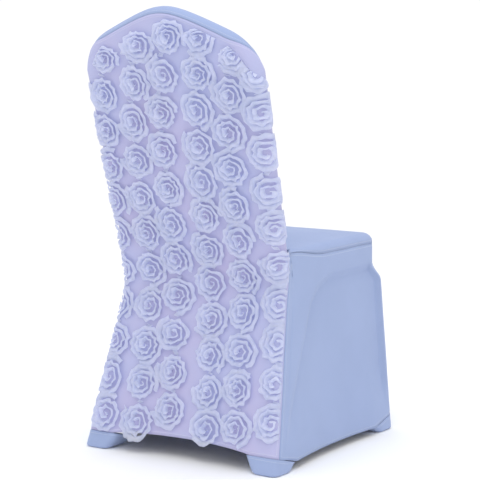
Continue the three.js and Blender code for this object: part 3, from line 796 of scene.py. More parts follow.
@dataclass(frozen=True)
class ClothFinish:
    """A finish for cloth: its colour, its yarn and its stitching.

    Attributes:
        name: The real material.
        colour: sRGB hex of the lit cloth.
        shade: sRGB hex of its slightly darker patches.
        roughness: Roughness of the fibres.
        sheen: Strength of the soft rim of loose fibres.
        yarn_mm: Width of one rib of the yarn.
        yarn_depth_mm: Depth of the bump between two ribs.
        glow: Share of light that passes through the cloth.
        stitched: Whether sewn edges show their rows of stitches.
        patches: How many patches of the darker tone there are to a metre.
    """

    name: str
    colour: str
    shade: str
    roughness: float
    sheen: float
    yarn_mm: float
    yarn_depth_mm: float
    glow: float
    stitched: bool
    patches: float = 9.0

    def build(self) -> bpy.types.Material:
        """Makes the material.

        Returns:
            The node material.
        """
        material = bpy.data.materials.new(self.name)
        material.use_nodes = True
        tree = material.node_tree
        tree.nodes.clear()
        cloth = add_node(tree, "ShaderNodeUVMap", {"uv_map": "Cloth"}).outputs[0]
        place = add_node(tree, "ShaderNodeTexCoord").outputs["Object"]
        colour = self._colour(tree, place)
        relief = self._yarn(tree, cloth)
        if self.stitched:
            thread, dip = self._stitches(tree)
            relief = maths(tree, "ADD", relief, dip)
            colour = add_node(
                tree,
                "ShaderNodeMix",
                {"data_type": "RGBA"},
                {7: linear_rgba("f4f6ff")},
                {0: maths(tree, "MULTIPLY", thread, 0.35), 6: colour},
            ).outputs[2]
        # the bump's height is in metres, as it is in the real cloth
        bump = add_node(tree, "ShaderNodeBump", None, {"Strength": 0.6, "Distance": 1.0}, {"Height": relief})
        shader = add_node(
            tree,
            "ShaderNodeBsdfPrincipled",
            None,
            {
                "Roughness": self.roughness,
                "Sheen Weight": self.sheen,
                "Sheen Roughness": 0.45,
                "Specular IOR Level": 0.35,
            },
            {"Base Color": colour, "Normal": bump.outputs[0]},
        )
        through = add_node(tree, "ShaderNodeBsdfTranslucent", None, None, {"Color": colour})
        both = add_node(
            tree, "ShaderNodeMixShader", None, {0: self.glow}, {1: shader.outputs[0], 2: through.outputs[0]}
        )
        add_node(tree, "ShaderNodeOutputMaterial", None, None, {"Surface": both.outputs[0]})
        return material

    def _colour(self, tree: bpy.types.NodeTree, place: Any) -> Any:
        """Broad, faint patches where the cloth is stretched more or less."""
        look = {"Scale": self.patches, "Detail": 3.0, "Roughness": 0.55}
        patches = add_node(tree, "ShaderNodeTexNoise", None, look, {"Vector": place})
        ramp = add_node(tree, "ShaderNodeValToRGB", None, None, {0: patches.outputs[0]})
        ramp.color_ramp.elements[0].position = 0.35
        ramp.color_ramp.elements[0].color = linear_rgba(self.shade)
        ramp.color_ramp.elements[1].position = 0.62
        ramp.color_ramp.elements[1].color = linear_rgba(self.colour)
        return ramp.outputs[0]

    def _yarn(self, tree: bpy.types.NodeTree, cloth: Any) -> Any:
        """Ribs and courses of the yarn, at their real pitch."""
        turns = 2 * math.pi / (self.yarn_mm / 1000)
        split = add_node(tree, "ShaderNodeSeparateXYZ", None, None, {0: cloth})
        ribs = maths(tree, "SINE", maths(tree, "MULTIPLY", split.outputs[0], turns))
        courses = maths(tree, "SINE", maths(tree, "MULTIPLY", split.outputs[1], turns * 1.3))
        both = maths(tree, "MULTIPLY", ribs, courses)
        return maths(tree, "MULTIPLY", both, self.yarn_depth_mm / 2000)

    def _stitches(self, tree: bpy.types.NodeTree) -> tuple[Any, Any]:
        """A row of stitches beside each sewn edge, and the dip that its pull makes."""
        sewn = add_node(tree, "ShaderNodeUVMap", {"uv_map": "Seam"}).outputs[0]
        split = add_node(tree, "ShaderNodeSeparateXYZ", None, None, {0: sewn})
        run, distance = split.outputs[0], split.outputs[1]
        off = maths(tree, "ABSOLUTE", maths(tree, "SUBTRACT", distance, 0.006))
        row = maths(tree, "LESS_THAN", off, 0.00045)
        dash = maths(tree, "LESS_THAN", maths(tree, "FRACT", maths(tree, "DIVIDE", run, 0.0032)), 0.72)
        thread = maths(tree, "MULTIPLY", row, dash)
        side = maths(tree, "SMOOTH_MIN", maths(tree, "DIVIDE", off, 0.002), 1.0, 0.4)
        groove = maths(tree, "MULTIPLY", side, 0.0003)
        return thread, maths(tree, "ADD", groove, maths(tree, "MULTIPLY", thread, 0.0003))


# Smooth stretch knit: matt, slightly fuzzy at grazing angles, a pale lavender blue all over.
KNIT = ClothFinish("polyester elastane knit", "9fafd5", "9cacd2", 0.82, 0.2, 0.8, 0.10, 0.04, True)
# The cloth under the rosettes: the same knit a little paler, with faint patches of warmer lavender.
BASE = ClothFinish("rosette panel base knit", "b6bbe0", "bcb8dc", 0.85, 0.15, 0.8, 0.12, 0.04, True, 4.5)
# Taffeta ribbon: smoother and nearly white, with a soft gloss on each fold, and thin enough for light
# to pass through it and soften the shade between the folds.
RIBBON = ClothFinish("polyester taffeta ribbon", "e6eafa", "dce2f5", 0.44, 0.4, 0.5, 0.06, 0.5, False, 60.0)


# ---- panels --------------------------------------------------------------------------------------


@dataclass(frozen=True)
class Cut:
    """The flat cut of one sheet: its width and length in metres, and its area in square metres."""

    width: float
    length: float
    area: float


def sewn_relief(cloth: Cloth) -> Array:
    """The shape that sewing gives a panel near its edges.

    Args:
        cloth: The panel.

    Returns:
        Millimetres outward: a folded allowance that stands a little proud, and a dip at the seam itself.
    """
    d = cloth.seam
    fold = 0.55 * smooth((10.5 - d) / 1.5)
    stitch = -0.45 * np.exp(-(((d - 6.0) / 1.6) ** 2))
    pull = -1.0 * np.exp(-((d / 2.2) ** 2))
    return fold + stitch + pull


def tension(points: Array, toward: Sequence[float], reach: float, pitch: float, height: float) -> Array:
    """Fine folds that fan out from a place where the cloth is pulled.

    Args:
        points: Points of the sheet.
        toward: Where the folds start, in millimetres.
        reach: How far they run.
        pitch: Angle between two folds, in degrees.
        height: Height of the folds.

    Returns:
        Millimetres outward.
    """
    offset = points - np.asarray(toward, float)
    distance = np.linalg.norm(offset, axis=-1)
    plan = np.linalg.norm(offset[..., :2], axis=-1)
    angle = np.degrees(np.arctan2(offset[..., 2], plan))
    wave = np.sin(2 * math.pi * angle / pitch) + 0.5 * np.sin(2 * math.pi * angle / (pitch * 0.61) + 1.3)
    fade = smooth((reach - distance) / reach) * smooth((distance - 12) / 40)
    return height * wave * fade


@dataclass
class Panels:
    """Every plain panel of the cover."""

    outline: Outline = field(default_factory=Outline)
    rows: int = 60
    strip: int = 10
    span: int = 64
    corner: int = 8

    @property
    def up(self) -> Array:
        """Shares of the way up a skirt panel."""
        return np.linspace(0, 1, self.rows + 1)

    def back(self) -> Cloth:
        """The rosette panel's base cloth."""
        cloth = BackFace(self.outline, False).cloth()
        cloth.relief(sewn_relief(cloth) + 0.5 * self._soft(cloth.outer, 0.021))
        return cloth

    def inner_back(self) -> Cloth:
        """The panel on the sitting side of the backrest."""
        cloth = BackFace(self.outline, True).cloth()
        cloth.relief(sewn_relief(cloth) + 0.6 * self._soft(cloth.outer, 0.016))
        return cloth

    def side(self, sign: int) -> Cloth:
        """A side panel.

        Args:
            sign: 1 for the sitter's left, -1 for the right.

        Returns:
            The sheet.
        """
        steps = (self.strip, self.span, self.corner)
        cloth = grid_cloth(lambda inward: FORM.on_side(self.up, *steps, inward), True)
        rear = FORM.on_side_edge(FORM.pocket_top, FORM.side_end, 0.0)
        front = FORM.on_front_corner(FORM.pocket_top, 0.0, 0.0)
        waist = FORM.on_side_edge(FORM.seat_join - 30, FORM.side_end, 0.0)
        folds = tension(cloth.outer, rear, 260, 17, 0.35) + tension(cloth.outer, front, 200, 19, 0.3)
        folds = folds + tension(cloth.outer, waist, 110, 21, 0.45)
        cloth.relief(sewn_relief(cloth) + folds + 0.5 * self._soft(cloth.outer, 0.018))
        return cloth if sign > 0 else cloth.mirrored()

    def _front_row(self, z: Array, inward: float) -> tuple[Array, Array]:
        """The front corner beyond its seam, and the line where it turns into the front."""
        gap = FORM.gap / (FORM.leg_corner * 1.5)
        turns = mix(FORM.front_seam_turn + gap, 1.0, np.arange(self.corner) / self.corner)
        corner = FORM.on_front_corner(z[:, None], turns[None], inward)
        edge = FORM.on_front_corner(z[:, None], 1.0, inward)
        return corner, edge

    def front(self) -> Cloth:
        """The front panel."""

        def points_at(inward: float) -> Array:
            """The whole panel at a distance in from its outer side."""
            z = mix(FORM.pocket_top, FORM.seat_edge, self.up)
            corner, edge = self._front_row(z, inward)
            t = np.linspace(0, 1, self.span + 1)[None]
            flip = np.array([-1.0, 1.0, 1.0])
            span = edge + (edge * flip - edge) * t[..., None]
            arch = np.clip(1 - ((2 * t - 1) * 1.3) ** 2, 0, 1) ** 0.75
            span[..., 2] = mix(FORM.pocket_top + FORM.hem_rise_front * arch, FORM.seat_edge, self.up[:, None])
            leg = np.minimum(t, 1 - t) * 2 * (FORM.seat_half_width - FORM.seat_corner)
            inset = np.minimum(FORM.seat_edge - span[..., 2] - FORM.band_height, leg) / FORM.band_softness
            width = FORM.seat_half_width
            span[..., 1] += FORM.side_recess * smooth(inset)
            span[..., 1] += FORM.sag(width - np.abs(span[..., 0]), 2 * width, span[..., 2])
            return np.concatenate([corner, span, (corner * flip)[:, ::-1]], 1)

        cloth = grid_cloth(points_at, True)
        foot = FORM.on_front_corner(FORM.pocket_top, 1.0, 0.0)
        folds = sum(tension(cloth.outer, foot * (s, 1, 1), 240, 18, 0.35) for s in (1, -1))
        cloth.relief(sewn_relief(cloth) + folds + 0.5 * self._soft(cloth.outer, 0.017))
        return cloth

    def seat(self) -> Cloth:
        """The seat panel, with a rolled edge along the sides and the front."""

        def points_at(inward: float) -> Array:
            """The whole panel at a distance in from its outer side."""
            f = FORM
            flip = np.array([-1.0, 1.0, 1.0])
            right = f.on_side(np.array([1.0]), self.strip, self.span, self.corner, inward)[0]
            turns = mix(f.front_seam_turn, 1.0, np.arange(self.corner) / self.corner)
            corner = f.on_front_corner(np.full(len(turns), f.seat_edge), turns, inward)
            edge = f.on_front_corner(f.seat_edge, 1.0, inward)
            span = edge + (edge * flip - edge) * np.linspace(0, 1, self.span + 1)[:, None]
            front = np.concatenate([corner, span, (corner * flip)[::-1]])
            hidden = f.pad_thickness - f.cloth - 1
            wide = float(f.half_width(f.seat_join))
            turn = 0.4 * f.roll
            tucked = f.on_back(wide - turn, f.seat_join - f.gap, hidden - turn)
            x = np.linspace(wide - f.roll, f.roll - wide, len(front) - 4)
            middle = f.on_back(x, f.seat_join - f.gap, hidden)
            rear = np.concatenate([[right[0], tucked], middle, [tucked * flip, right[0] * flip]])
            rows = coons(rear, front, right, right * flip)
            border = np.concatenate([right, front, (right * flip)[::-1]])
            near = np.full(rows.shape[:2], 1e9)
            for a, b in zip(border[:-1, :2], border[1:, :2]):
                line = b - a
                offset = rows[..., :2] - a
                t = np.clip((offset @ line) / max(float(line @ line), 1e-9), 0, 1)
                near = np.minimum(near, np.linalg.norm(offset - t[..., None] * line, axis=-1))
            foot = float(middle[0, 1])
            roll = np.sqrt(1 - (1 - np.clip(near / (f.seat_roll - inward), 0, 1)) ** 2)
            crowned = f.seat_crown * smooth(near / 130) * smooth((foot - rows[..., 1]) / 110)
            share = roll * smooth(0.25 + (foot - rows[..., 1]) / 60)
            inside = (slice(1, -1), slice(1, -1))
            lifted = mix(rows[..., 2], f.seat_top + crowned - inward, share)
            rows[inside + (2,)] = lifted[inside]
            rows[..., 2] += f.gap
            return rows

        cloth = grid_cloth(points_at, False)
        rear = FORM.on_back(0.0, FORM.seat_join, FORM.pad_thickness)
        behind = cloth.outer[:, 1] > rear[1] - 30
        relief = sewn_relief(cloth) + 0.5 * self._soft(cloth.outer, 0.017)
        cloth.relief(np.where(behind, 0.2, 1.0) * relief)
        return cloth

    @staticmethod
    def _soft(points: Array, rate: float) -> Array:
        """Broad, shallow unevenness of stretched cloth, from -1 to 1."""
        x, y, z = points[:, 0] * rate, points[:, 1] * rate, points[:, 2] * rate
        first = np.sin(x * 2.1 + z * 1.3 + 0.7)
        second = np.sin(y * 1.7 - z * 2.3 + 2.1)
        third = np.sin(x * 1.1 - y * 2.9 + 4.0)
        return (first + second + third) / 3


@dataclass(frozen=True)
class FootPocket:
    """A cup of cloth that hooks under one leg, with a tilted mouth."""

    corner: Callable[[Any], Sequence[Any]]
    sx: int
    sy: int
    levels: int = 12
    round_steps: int = 7
    straight_steps: int = 7

    def _loop(self, level: float, inward: float) -> Array:
        """One ring of the cup, by its share of the way to the mouth."""
        f = FORM
        foot = level * f.pocket_top
        x0, y0 = (float(v) for v in self.corner(foot)[:2])
        tuck = f.pocket_round * (1 - math.sqrt(1 - (1 - min(foot / f.pocket_round, 1)) ** 2))
        size = mix(f.pocket_sole, f.pocket_mouth, level**0.8)
        radius = max(f.pocket_corner - tuck - inward, 3.0)
        inset = size / 2 - tuck - inward - radius
        points = []
        for quarter, (cx, cy) in enumerate(((1, 1), (-1, 1), (-1, -1), (1, -1))):
            angles = (quarter + np.linspace(0, 1, self.round_steps + 1)) * math.pi / 2
            arc = np.stack([cx * inset + radius * np.cos(angles), cy * inset + radius * np.sin(angles)], -1)
            points.append(arc)
        ring = []
        for k, arc in enumerate(points):
            following = points[(k + 1) % 4][0]
            t = np.linspace(0, 1, self.straight_steps + 1)[1:-1, None]
            ring += [arc, arc[-1] + (following - arc[-1]) * t]
        flat = np.concatenate(ring)
        depth = size / 2 - self.sy * flat[:, 1]
        mouth = f.pocket_top - f.mouth_drop(depth) - f.gap
        z = np.full(len(flat), inward) if level == 0 else level * mouth
        return stack(self.sx * (x0 - size / 2) + flat[:, 0], y0 - self.sy * size / 2 + flat[:, 1], z)

    def cloth(self) -> Cloth:
        """Builds the cup.

        Returns:
            The sheet, sole included.
        """
        first = FORM.pocket_round / FORM.pocket_top
        curve = first * np.sin(np.linspace(0, 1, 5)[1:-1] * math.pi / 2) ** 2
        levels = np.concatenate([[0.0], curve, np.linspace(first, 1, self.levels)])
        outer = np.stack([self._loop(v, 0.0) for v in levels])
        inner = np.stack([self._loop(v, FORM.cloth) for v in levels])
        count = outer.shape[1]
        a = (np.arange(len(levels) - 1)[:, None] * count + np.arange(count)[None]).ravel()
        b = (np.arange(len(levels) - 1)[:, None] * count + (np.arange(count)[None] + 1) % count).ravel()
        walls = np.stack([a, b, b + count, a + count], -1)
        # the sole is closed by shrinking copies of its own outline
        shrunk, sole = [], []
        shares = (0.66, 0.33, 0.02)
        total = len(levels) * count
        ring = np.arange(count)
        turned = (ring + 1) % count
        last = ring
        for k, share in enumerate(shares):
            mid_o, mid_i = outer[0].mean(0), inner[0].mean(0)
            shrunk.append((mid_o + (outer[0] - mid_o) * share, mid_i + (inner[0] - mid_i) * share))
            now = total + k * count + ring
            sole.append(np.stack([last[turned], last, now, now[turned]], -1))
            last = now
        points = np.concatenate([outer.reshape(-1, 3), *(s[0] for s in shrunk)])
        inside = np.concatenate([inner.reshape(-1, 3), *(s[1] for s in shrunk)])
        run = np.concatenate([[0], np.cumsum(np.linalg.norm(np.diff(outer[-1], axis=0), axis=1))])
        runs = np.tile(run, len(levels) + len(shares))
        up = lengths(outer, 0)
        from_mouth = np.concatenate([(up[-1:] - up).ravel(), np.full(count * len(shares), 60.0)])
        uv = np.stack([runs, 60 - from_mouth], -1) / 1000
        made = Cloth(points, inside, np.concatenate([walls, *sole]), uv, from_mouth, runs)
        wall = np.concatenate([np.ones(total), np.zeros(count * len(shares))])
        near_mouth = smooth((24 - from_mouth) / 20) * smooth(from_mouth / 6)
        pulled = np.sin(runs * 2 * math.pi / 37 + 0.8) * near_mouth
        made.relief(wall * (0.5 * sewn_relief(made) * (from_mouth > 1.0) - 0.35 * np.abs(pulled)))
        return made


# ---- rosettes ------------------------------------------------------------------------------------


@dataclass(frozen=True)
class Column:
    """One column of rosettes, by length along the cloth from the centre line and by height.

    Attributes:
        number: Its number, from +X to -X.
        at: Its places at the four heights of COLUMN_HEIGHTS.
        low: Height of the lowest rosette.
        high: Height of the highest one.
        count: How many rosettes there are.
    """

    number: int
    at: tuple[float, float, float, float]
    low: float
    high: float
    count: int

    def along(self, height: Any) -> Array:
        """Where the column runs, by height."""
        return np.interp(height, COLUMN_HEIGHTS, self.at)


COLUMN_HEIGHTS = (60.0, 365.0, 700.0, 870.0)
COLUMNS = (
    Column(1, (196, 208, 179, 146), 75, 828, 11),
    Column(2, (111, 126, 104, 57), 66, 856, 11),
    Column(3, (37, 59, 33, -17), 98, 874, 11),
    Column(4, (-60, -28, -56, -91), 72, 872, 12),
    Column(5, (-131, -107, -126, -172), 83, 836, 11),
    Column(6, (-219, -191, -203, -216), 100, 798, 10),
)


class RosetteCloth:
    """The rosette panel as a surface to lay ribbon on: along the cloth, up it, and above it."""

    def __init__(self, outline: Outline) -> None:
        """Takes the panel's outline."""
        x, h, _, _ = outline.half()
        self._x = x
        self._h = h
        start = FORM.crown_at(FORM.shoulder_x) - FORM.shoulder
        self._shoulder = float(start)

    def limit(self, height: Any) -> Array:
        """How far from the centre line the panel reaches at a height."""
        x = np.interp(np.asarray(height) + 0.7 * FORM.roll, self._h, self._x)
        wrap = (FORM.side_seam(height) - 1) * (1 - smooth((height - self._shoulder + 30) / 50))
        return x - FORM.roll + wrap

    def place(self, along: Array, height: Array, rise: Array) -> Array:
        """Places points on the panel.

        Args:
            along: Distance from the centre line, along the cloth.
            height: Height up the rear face.
            rise: Distance above the cloth.

        Returns:
            Points in millimetres.
        """
        along, height, rise = np.broadcast_arrays(along, height, rise)
        flat = FORM.half_width(height) - FORM.roll
        past = np.abs(along) - flat
        on_face = FORM.on_back(along, height, -rise - FORM.rear_bulge(along, height))
        length = np.maximum(past, 0)
        turn = np.clip(length / FORM.roll, 0, math.pi / 2)
        reach = FORM.roll + rise
        out = reach * np.sin(turn)
        straight = FORM.roll + length - FORM.quarter
        depth = np.where(length <= FORM.quarter, FORM.roll - reach * np.cos(turn), straight)
        round_edge = FORM.on_back(np.sign(along) * (FORM.half_width(height) + out - FORM.roll), height, depth)
        return np.where((past <= 0)[..., None], on_face, round_edge)


@dataclass(frozen=True)
class Rosette:
    """One gathered ribbon, wound into a spiral and sewn down along its inner edge.

    Attributes:
        along: Place of its middle along the cloth.
        height: Height of its middle.
        above: Share of the radius that there is room for above the middle.
        radius: Radius out to the last petal's edge.
        turns: How many times the ribbon goes round.
        spin: Direction of its inner end.
        squash: How much narrower it is one way than the other.
        heart: Radius of the first turn where it is sewn down.
        petal: Width that the outermost petal adds beyond its sewn edge, at the spiral's outer end.
        overhang: How far the free edge leans out, at the heart and at the outer end.
        stand: How high the ribbon stands, at the heart and at the outer end.
        droop: How far its free edge drops again, at the heart and at the outer end.
        widen: How much wider it is along the cloth than up it.
        steps: Points along the ribbon.
        across: Points across the ribbon.
    """

    along: float
    height: float
    above: float
    radius: float
    turns: float
    spin: float
    squash: float
    heart: float = 1.8
    petal: float = 13.0
    overhang: tuple[float, float] = (4.5, 12.5)
    stand: tuple[float, float] = (13.0, 10.0)
    droop: tuple[float, float] = (1.0, 4.4)
    widen: float = 1.05
    steps: int = 330
    across: int = 9

    def strip(self, rng: np.random.Generator) -> Array:
        """Winds the ribbon.

        Args:
            rng: Source of the folds' random sizes.

        Returns:
            A grid of points (along, height, rise): along the ribbon, and from its sewn edge to its free edge.
        """
        t = np.linspace(0, 1, self.steps) ** 0.6
        phi = 2 * math.pi * self.turns * t
        overhang = mix(*self.overhang, t**1.1)
        base = mix(self.heart, self.radius - self.petal, t)
        run = np.concatenate([[0], np.cumsum(np.hypot(np.diff(base), base[1:] * np.diff(phi)))])
        out_fold, up_fold = self._folds(rng, run, base)
        q = np.linspace(0, 1, self.across)[None]
        lean = overhang[:, None] * q**1.6 + out_fold[:, None] * q**1.2
        top = mix(*self.stand, t**0.8)[:, None]
        drop = mix(*self.droop, t[:, None]) * q**4
        rise = 0.5 + top * (1 - (1 - q) ** 1.8) - drop + up_fold[:, None] * q**1.3
        radius = base[:, None] + 0.35 * out_fold[:, None] + lean
        # pleats fold the free edge back and forth along the ribbon as well
        slide = 0.9 * np.gradient(out_fold)[:, None] * q / np.maximum(radius, 4)
        angle = self.spin + phi[:, None] + slide
        u = self.widen * radius * np.cos(angle) * (1 - self.squash)
        v = radius * np.sin(angle) * (1 + self.squash)
        v = np.where(v > 0, v * self.above, v)
        grid = np.stack([self.along + u, self.height + v, rise], -1)
        return grid

    @staticmethod
    def _folds(rng: np.random.Generator, run: Array, base: Array) -> tuple[Array, Array]:
        """Random pleats along the free edge: how far they lean out and how high they stand."""
        knots, outs, ups = [0.0], [0.0], [0.5]
        sign = 1.0
        while knots[-1] < run[-1]:
            around = np.interp(knots[-1], run, base)
            knots.append(knots[-1] + rng.uniform(0.5, 1.3) * (3.6 + 0.16 * around))
            outs.append(sign * rng.uniform(0.5, 2.6))
            ups.append(rng.uniform(-3.0, 2.2))
            sign = -sign if rng.random() < 0.85 else sign
        soften = np.exp(-(np.linspace(-2, 2, 5) ** 2))
        soften /= soften.sum()

        def along(values: Iterable[float]) -> Array:
            """The softened line through the pleats' values."""
            raw = np.interp(run, knots, list(values))
            return np.convolve(np.pad(raw, 2, mode="edge"), soften, mode="valid")

        return along(outs), along(ups)

    def link(self, length: float) -> Array:
        """The ribbon between two rosettes: flat against the cloth, under the petals at both of its ends.

        Args:
            length: Clear distance between the two.

        Returns:
            A grid of points (along, height, rise).
        """
        steps = 12
        t = np.linspace(0, 1, steps)[:, None]
        across = np.linspace(-1, 1, 7)[None]
        middle = self.height + (self.radius - 8) * self.above + (length + 16) * t
        drift = 2.5 * np.sin(3.1 * t + self.spin)
        u = self.along + drift + across * (6.0 + 1.2 * np.sin(5.0 * t + self.spin))
        v = middle + 1.2 * across
        rise = 1.0 + 1.1 * (1 + np.sin(2.4 * across + 4.0 * t + self.spin))
        return np.stack(np.broadcast_arrays(u, v, rise), -1)


@dataclass
class RosetteRibbons:
    """All the columns of rosettes.

    Attributes:
        surface: The cloth that they are sewn to.
        seed: Start of the random draws.
        radius: Smallest and largest radius of a rosette.
        turns: Fewest and most turns of its ribbon.
        stray: How far a rosette strays from its even place in the column.
        uneven: How much narrower one way than the other a rosette can be.
    """

    surface: RosetteCloth
    seed: int = 11
    radius: tuple[float, float] = (41.5, 45.5)
    turns: tuple[float, float] = (2.9, 3.4)
    stray: float = 1.5
    uneven: float = 0.05

    def _headroom(self, column: Column, height: float, radius: float) -> float:
        """Share of a rosette's radius that fits under the crown."""
        centre = abs(float(column.along(height)))
        room = float(FORM.crown_at(centre + 0.8 * radius)) - 0.5 * FORM.roll - height
        return float(np.clip(room / radius, 0.45, 1.0))

    def column(self, column: Column) -> tuple[Array, Array, Array, float]:
        """Builds one column.

        Args:
            column: Which column.

        Returns:
            Points in millimetres, faces, places on the flat ribbon and the ribbon's length, both in metres.
        """
        rng = np.random.default_rng(self.seed + column.number)
        points, faces, maps, total, used = [], [], [], 0, 0.0
        pitch = (column.high - column.low) / (column.count - 1)
        for k in range(column.count):
            height = column.low + pitch * k + rng.uniform(-self.stray, self.stray)
            radius = rng.uniform(*self.radius)
            rosette = Rosette(
                along=float(column.along(height)) + rng.uniform(-self.stray, self.stray),
                height=height,
                above=self._headroom(column, height, radius),
                radius=radius,
                turns=rng.uniform(*self.turns),
                spin=rng.uniform(0, 2 * math.pi),
                squash=rng.uniform(-self.uneven, self.uneven),
            )
            grids = [rosette.strip(rng)]
            if k < column.count - 1:
                grids.append(rosette.link(pitch - 2 * radius))
            for grid in grids:
                placed, kept = self._sewn_in(grid)
                quads = grid_quads(*grid.shape[:2])
                quads = quads[kept.ravel()[quads].all(1)]
                run = lengths(placed, 0).mean(1)[:, None] + used
                used = float(run[-1, 0])
                width = lengths(placed, 1)
                maps.append(np.stack(np.broadcast_arrays(run, width), -1).reshape(-1, 2) / 1000)
                points.append(placed.reshape(-1, 3))
                faces.append(quads + total)
                total += placed.shape[0] * placed.shape[1]
        return np.concatenate(points), np.concatenate(faces), np.concatenate(maps), used / 1000

    def _sewn_in(self, grid: Array) -> tuple[Array, Array]:
        """Lays a ribbon on the panel.

        Where the panel's seam cuts a rosette, its ribbon is caught in the seam.

        Args:
            grid: Points (along, height, rise).

        Returns:
            The placed points, and which of them stand clear of the seam.
        """
        u, v, w = grid[..., 0], grid[..., 1], grid[..., 2]
        top = FORM.crown_at(u) - 0.55 * FORM.roll
        over = np.maximum(v - top, 0)
        v = np.where(over > 0, top + 2.0 * np.tanh(over / 6.0), v)
        limit = self.surface.limit(np.minimum(v, FORM.crown_height))
        side = np.sign(u)
        beyond = np.abs(u) - (limit - 1.5)
        caught = smooth((4.0 - beyond) / 15.0)
        u = np.where(beyond > 0, side * (limit - 1.5), u)
        near_edge = smooth((np.abs(u) - FORM.half_width(v) + FORM.roll + 12) / 20)
        rise = 0.6 + (w - 0.5) * np.clip(caught, 0.12, 1) * (1 - 0.22 * near_edge)
        return self.surface.place(u, v, rise), beyond < 5.0


# ---- the cover -----------------------------------------------------------------------------------


class ChairCover:
    """Builds every piece, puts it on its body and hides the CAD node that it stands for."""

    def __init__(self) -> None:
        """Makes the finishes and the panels' builder."""
        self.knit = KNIT.build()
        self.base = BASE.build()
        self.ribbon = RIBBON.build()
        self.panels = Panels()

    def build(self) -> None:
        """Builds the whole cover."""
        self._panel("back_panel", self.panels.back(), self.base, Slot.BASE)
        self._panel("inner_back_panel", self.panels.inner_back(), self.knit, Slot.KNIT)
        self._panel("seat_panel", self.panels.seat(), self.knit, Slot.KNIT)
        self._panel("side_panel_left", self.panels.side(1), self.knit, Slot.KNIT)
        self._panel("side_panel_right", self.panels.side(-1), self.knit, Slot.KNIT)
        self._panel("front_panel", self.panels.front(), self.knit, Slot.KNIT)
        self._pockets()
        self._rosettes()

    def _take(self, made: bpy.types.Object, node: str, slot: Slot) -> bpy.types.Object:
        """Puts a piece on its body and hides the CAD node that it stands for."""
        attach(made, BODY)
        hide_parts(node)
        return made

    def _panel(self, node: str, cloth: Cloth, material: bpy.types.Material, slot: Slot) -> None:
        """Builds one panel, puts it on its body and logs how many faces it has."""
        made = self._take(cloth.build(f"cloth_{node}", material), node, slot)
        log.info("%s: %d faces", made.name, len(made.data.polygons))

    def _pockets(self) -> None:
        """Builds the four foot pockets."""
        def rear(z: Any) -> tuple[Array, Array]:
            """Where a rear foot's outer faces meet."""
            return FORM.half_width(z), FORM.rear_y(z)

        legs = (("rear_left", rear, 1, 1), ("rear_right", rear, -1, 1))
        legs += (("front_left", FORM.front_corner, 1, -1), ("front_right", FORM.front_corner, -1, -1))
        for name, corner, sx, sy in legs:
            cloth = FootPocket(corner, sx, sy).cloth()
            self._panel(f"foot_pocket_{name}", cloth, self.knit, Slot.KNIT)

    def _rosettes(self) -> None:
        """Builds the six columns of gathered ribbon."""
        ribbons = RosetteRibbons(RosetteCloth(self.panels.outline))
        for column in COLUMNS:
            points, faces, uv, length = ribbons.column(column)
            name = f"ribbon_rosettes_{column.number}"
            made = make_mesh(name, points, faces, {"Cloth": uv}, self.ribbon)
            self._take(made, f"rosette_ribbon_{column.number}", Slot.RIBBON)
            area = sum(p.area for p in made.data.polygons)
            log.info("%s: %d faces, %.2f m of ribbon, %.4f m2", name, len(faces), length, area)


# ---- the studio ----------------------------------------------------------------------------------


@dataclass(frozen=True)
class Softbox:
    """One large soft light, placed by direction from the cover's middle."""

    name: str
    azimuth: float
    elevation: float
    distance: float
    size: float
    power: float
    colour: str = "ffffff"

    def build(self, target: Vector) -> None:
        """Adds the light.

        Args:
            target: What it points at.
        """
        a, e = math.radians(self.azimuth), math.radians(self.elevation)
        direction = Vector((math.sin(a) * math.cos(e), -math.cos(a) * math.cos(e), math.sin(e)))
        data = bpy.data.lights.new(self.name, "AREA")
        data.shape = "DISK"
        data.size = self.size
        data.energy = self.power
        data.color = linear_rgba(self.colour)[:3]
        lamp = bpy.data.objects.new(self.name, data)
        lamp.location = target + direction * self.distance
        lamp.rotation_euler = (-direction).to_track_quat("-Z", "Y").to_euler()
        bpy.context.scene.collection.objects.link(lamp)


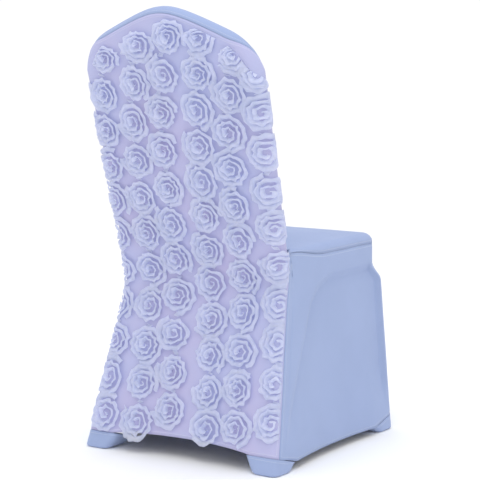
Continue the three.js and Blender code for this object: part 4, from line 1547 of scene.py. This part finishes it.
@dataclass(frozen=True)
class Studio:
    """A pale floor, soft light all round, and the camera."""

    camera_mm: tuple[float, float, float] = (-2052.9, 3157.4, 911.8)
    target_mm: tuple[float, float, float] = (27.94, 18.17, 416.4)
    lens: float = 131.54
    shift: tuple[float, float] = (0.0036, 0.012)
    world: float = 1.03

    def build(self) -> None:
        """Adds everything that is not the cover itself."""
        self._floor()
        self._world()
        middle = Vector(((np.array([0.0, 0.0, 450.0]) - FORM.hang) / 1000).tolist())
        for box in (
            Softbox("key", 207, 50, 3.0, 1.0, 10.0),
            Softbox("top", 180, 84, 3.0, 1.6, 14.0, "dbe6ff"),
        ):
            box.build(middle)
        self._camera()
        bpy.context.scene.view_settings.view_transform = "Standard"

    def _floor(self) -> None:
        """Adds the floor."""
        material = bpy.data.materials.new("white paper sweep")
        material.use_nodes = True
        tree = material.node_tree
        tree.nodes.clear()
        grain = add_node(tree, "ShaderNodeTexNoise", None, {"Scale": 300.0})
        depth = {"Strength": 0.02, "Distance": 0.001}
        bump = add_node(tree, "ShaderNodeBump", None, depth, {"Height": grain.outputs[0]})
        shader = add_node(
            tree,
            "ShaderNodeBsdfPrincipled",
            None,
            {"Base Color": linear_rgba("ffffff"), "Roughness": 0.95, "Specular IOR Level": 0.1},
            {"Normal": bump.outputs[0]},
        )
        add_node(tree, "ShaderNodeOutputMaterial", None, None, {"Surface": shader.outputs[0]})
        ring = np.linspace(0, 2 * math.pi, 97)[:-1]
        points = stack(20000 * np.cos(ring), 20000 * np.sin(ring), -0.5)
        mesh = bpy.data.meshes.new("floor")
        mesh.from_pydata(((points - FORM.hang) / 1000).tolist(), [], [list(range(len(ring)))])
        mesh.materials.append(material)
        floor = bpy.data.objects.new("floor", mesh)
        bpy.context.scene.collection.objects.link(floor)
        floor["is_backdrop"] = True

    def _world(self) -> None:
        """Adds the even light of the room."""
        world = bpy.data.worlds.new("soft white room")
        world.use_nodes = True
        back = world.node_tree.nodes["Background"]
        back.inputs[0].default_value = (1.0, 1.0, 1.0, 1.0)
        back.inputs[1].default_value = self.world
        bpy.context.scene.world = world

    def _camera(self) -> None:
        """Adds the camera."""
        data = bpy.data.cameras.new("camera")
        data.lens = self.lens
        data.sensor_width = 36.0
        data.shift_x, data.shift_y = self.shift
        data.clip_end = 100.0
        camera = bpy.data.objects.new("camera", data)
        place = Vector(((np.array(self.camera_mm) - FORM.hang) / 1000).tolist())
        target = Vector(((np.array(self.target_mm) - FORM.hang) / 1000).tolist())
        camera.location = place
        camera.rotation_euler = (target - place).to_track_quat("-Z", "Y").to_euler()
        bpy.context.scene.collection.objects.link(camera)
        bpy.context.scene.camera = camera


def main() -> None:
    """Builds the cover and the studio, and works out the model's box before and after."""
    logging.basicConfig(level=logging.INFO)
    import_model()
    cad_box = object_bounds()
    ChairCover().build()
    Studio().build()
    boxes = {"cad": cad_box, "visual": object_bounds()}
    {key: [list(corner) for corner in box] for key, box in boxes.items()}


if __name__ == "__main__":
    main()
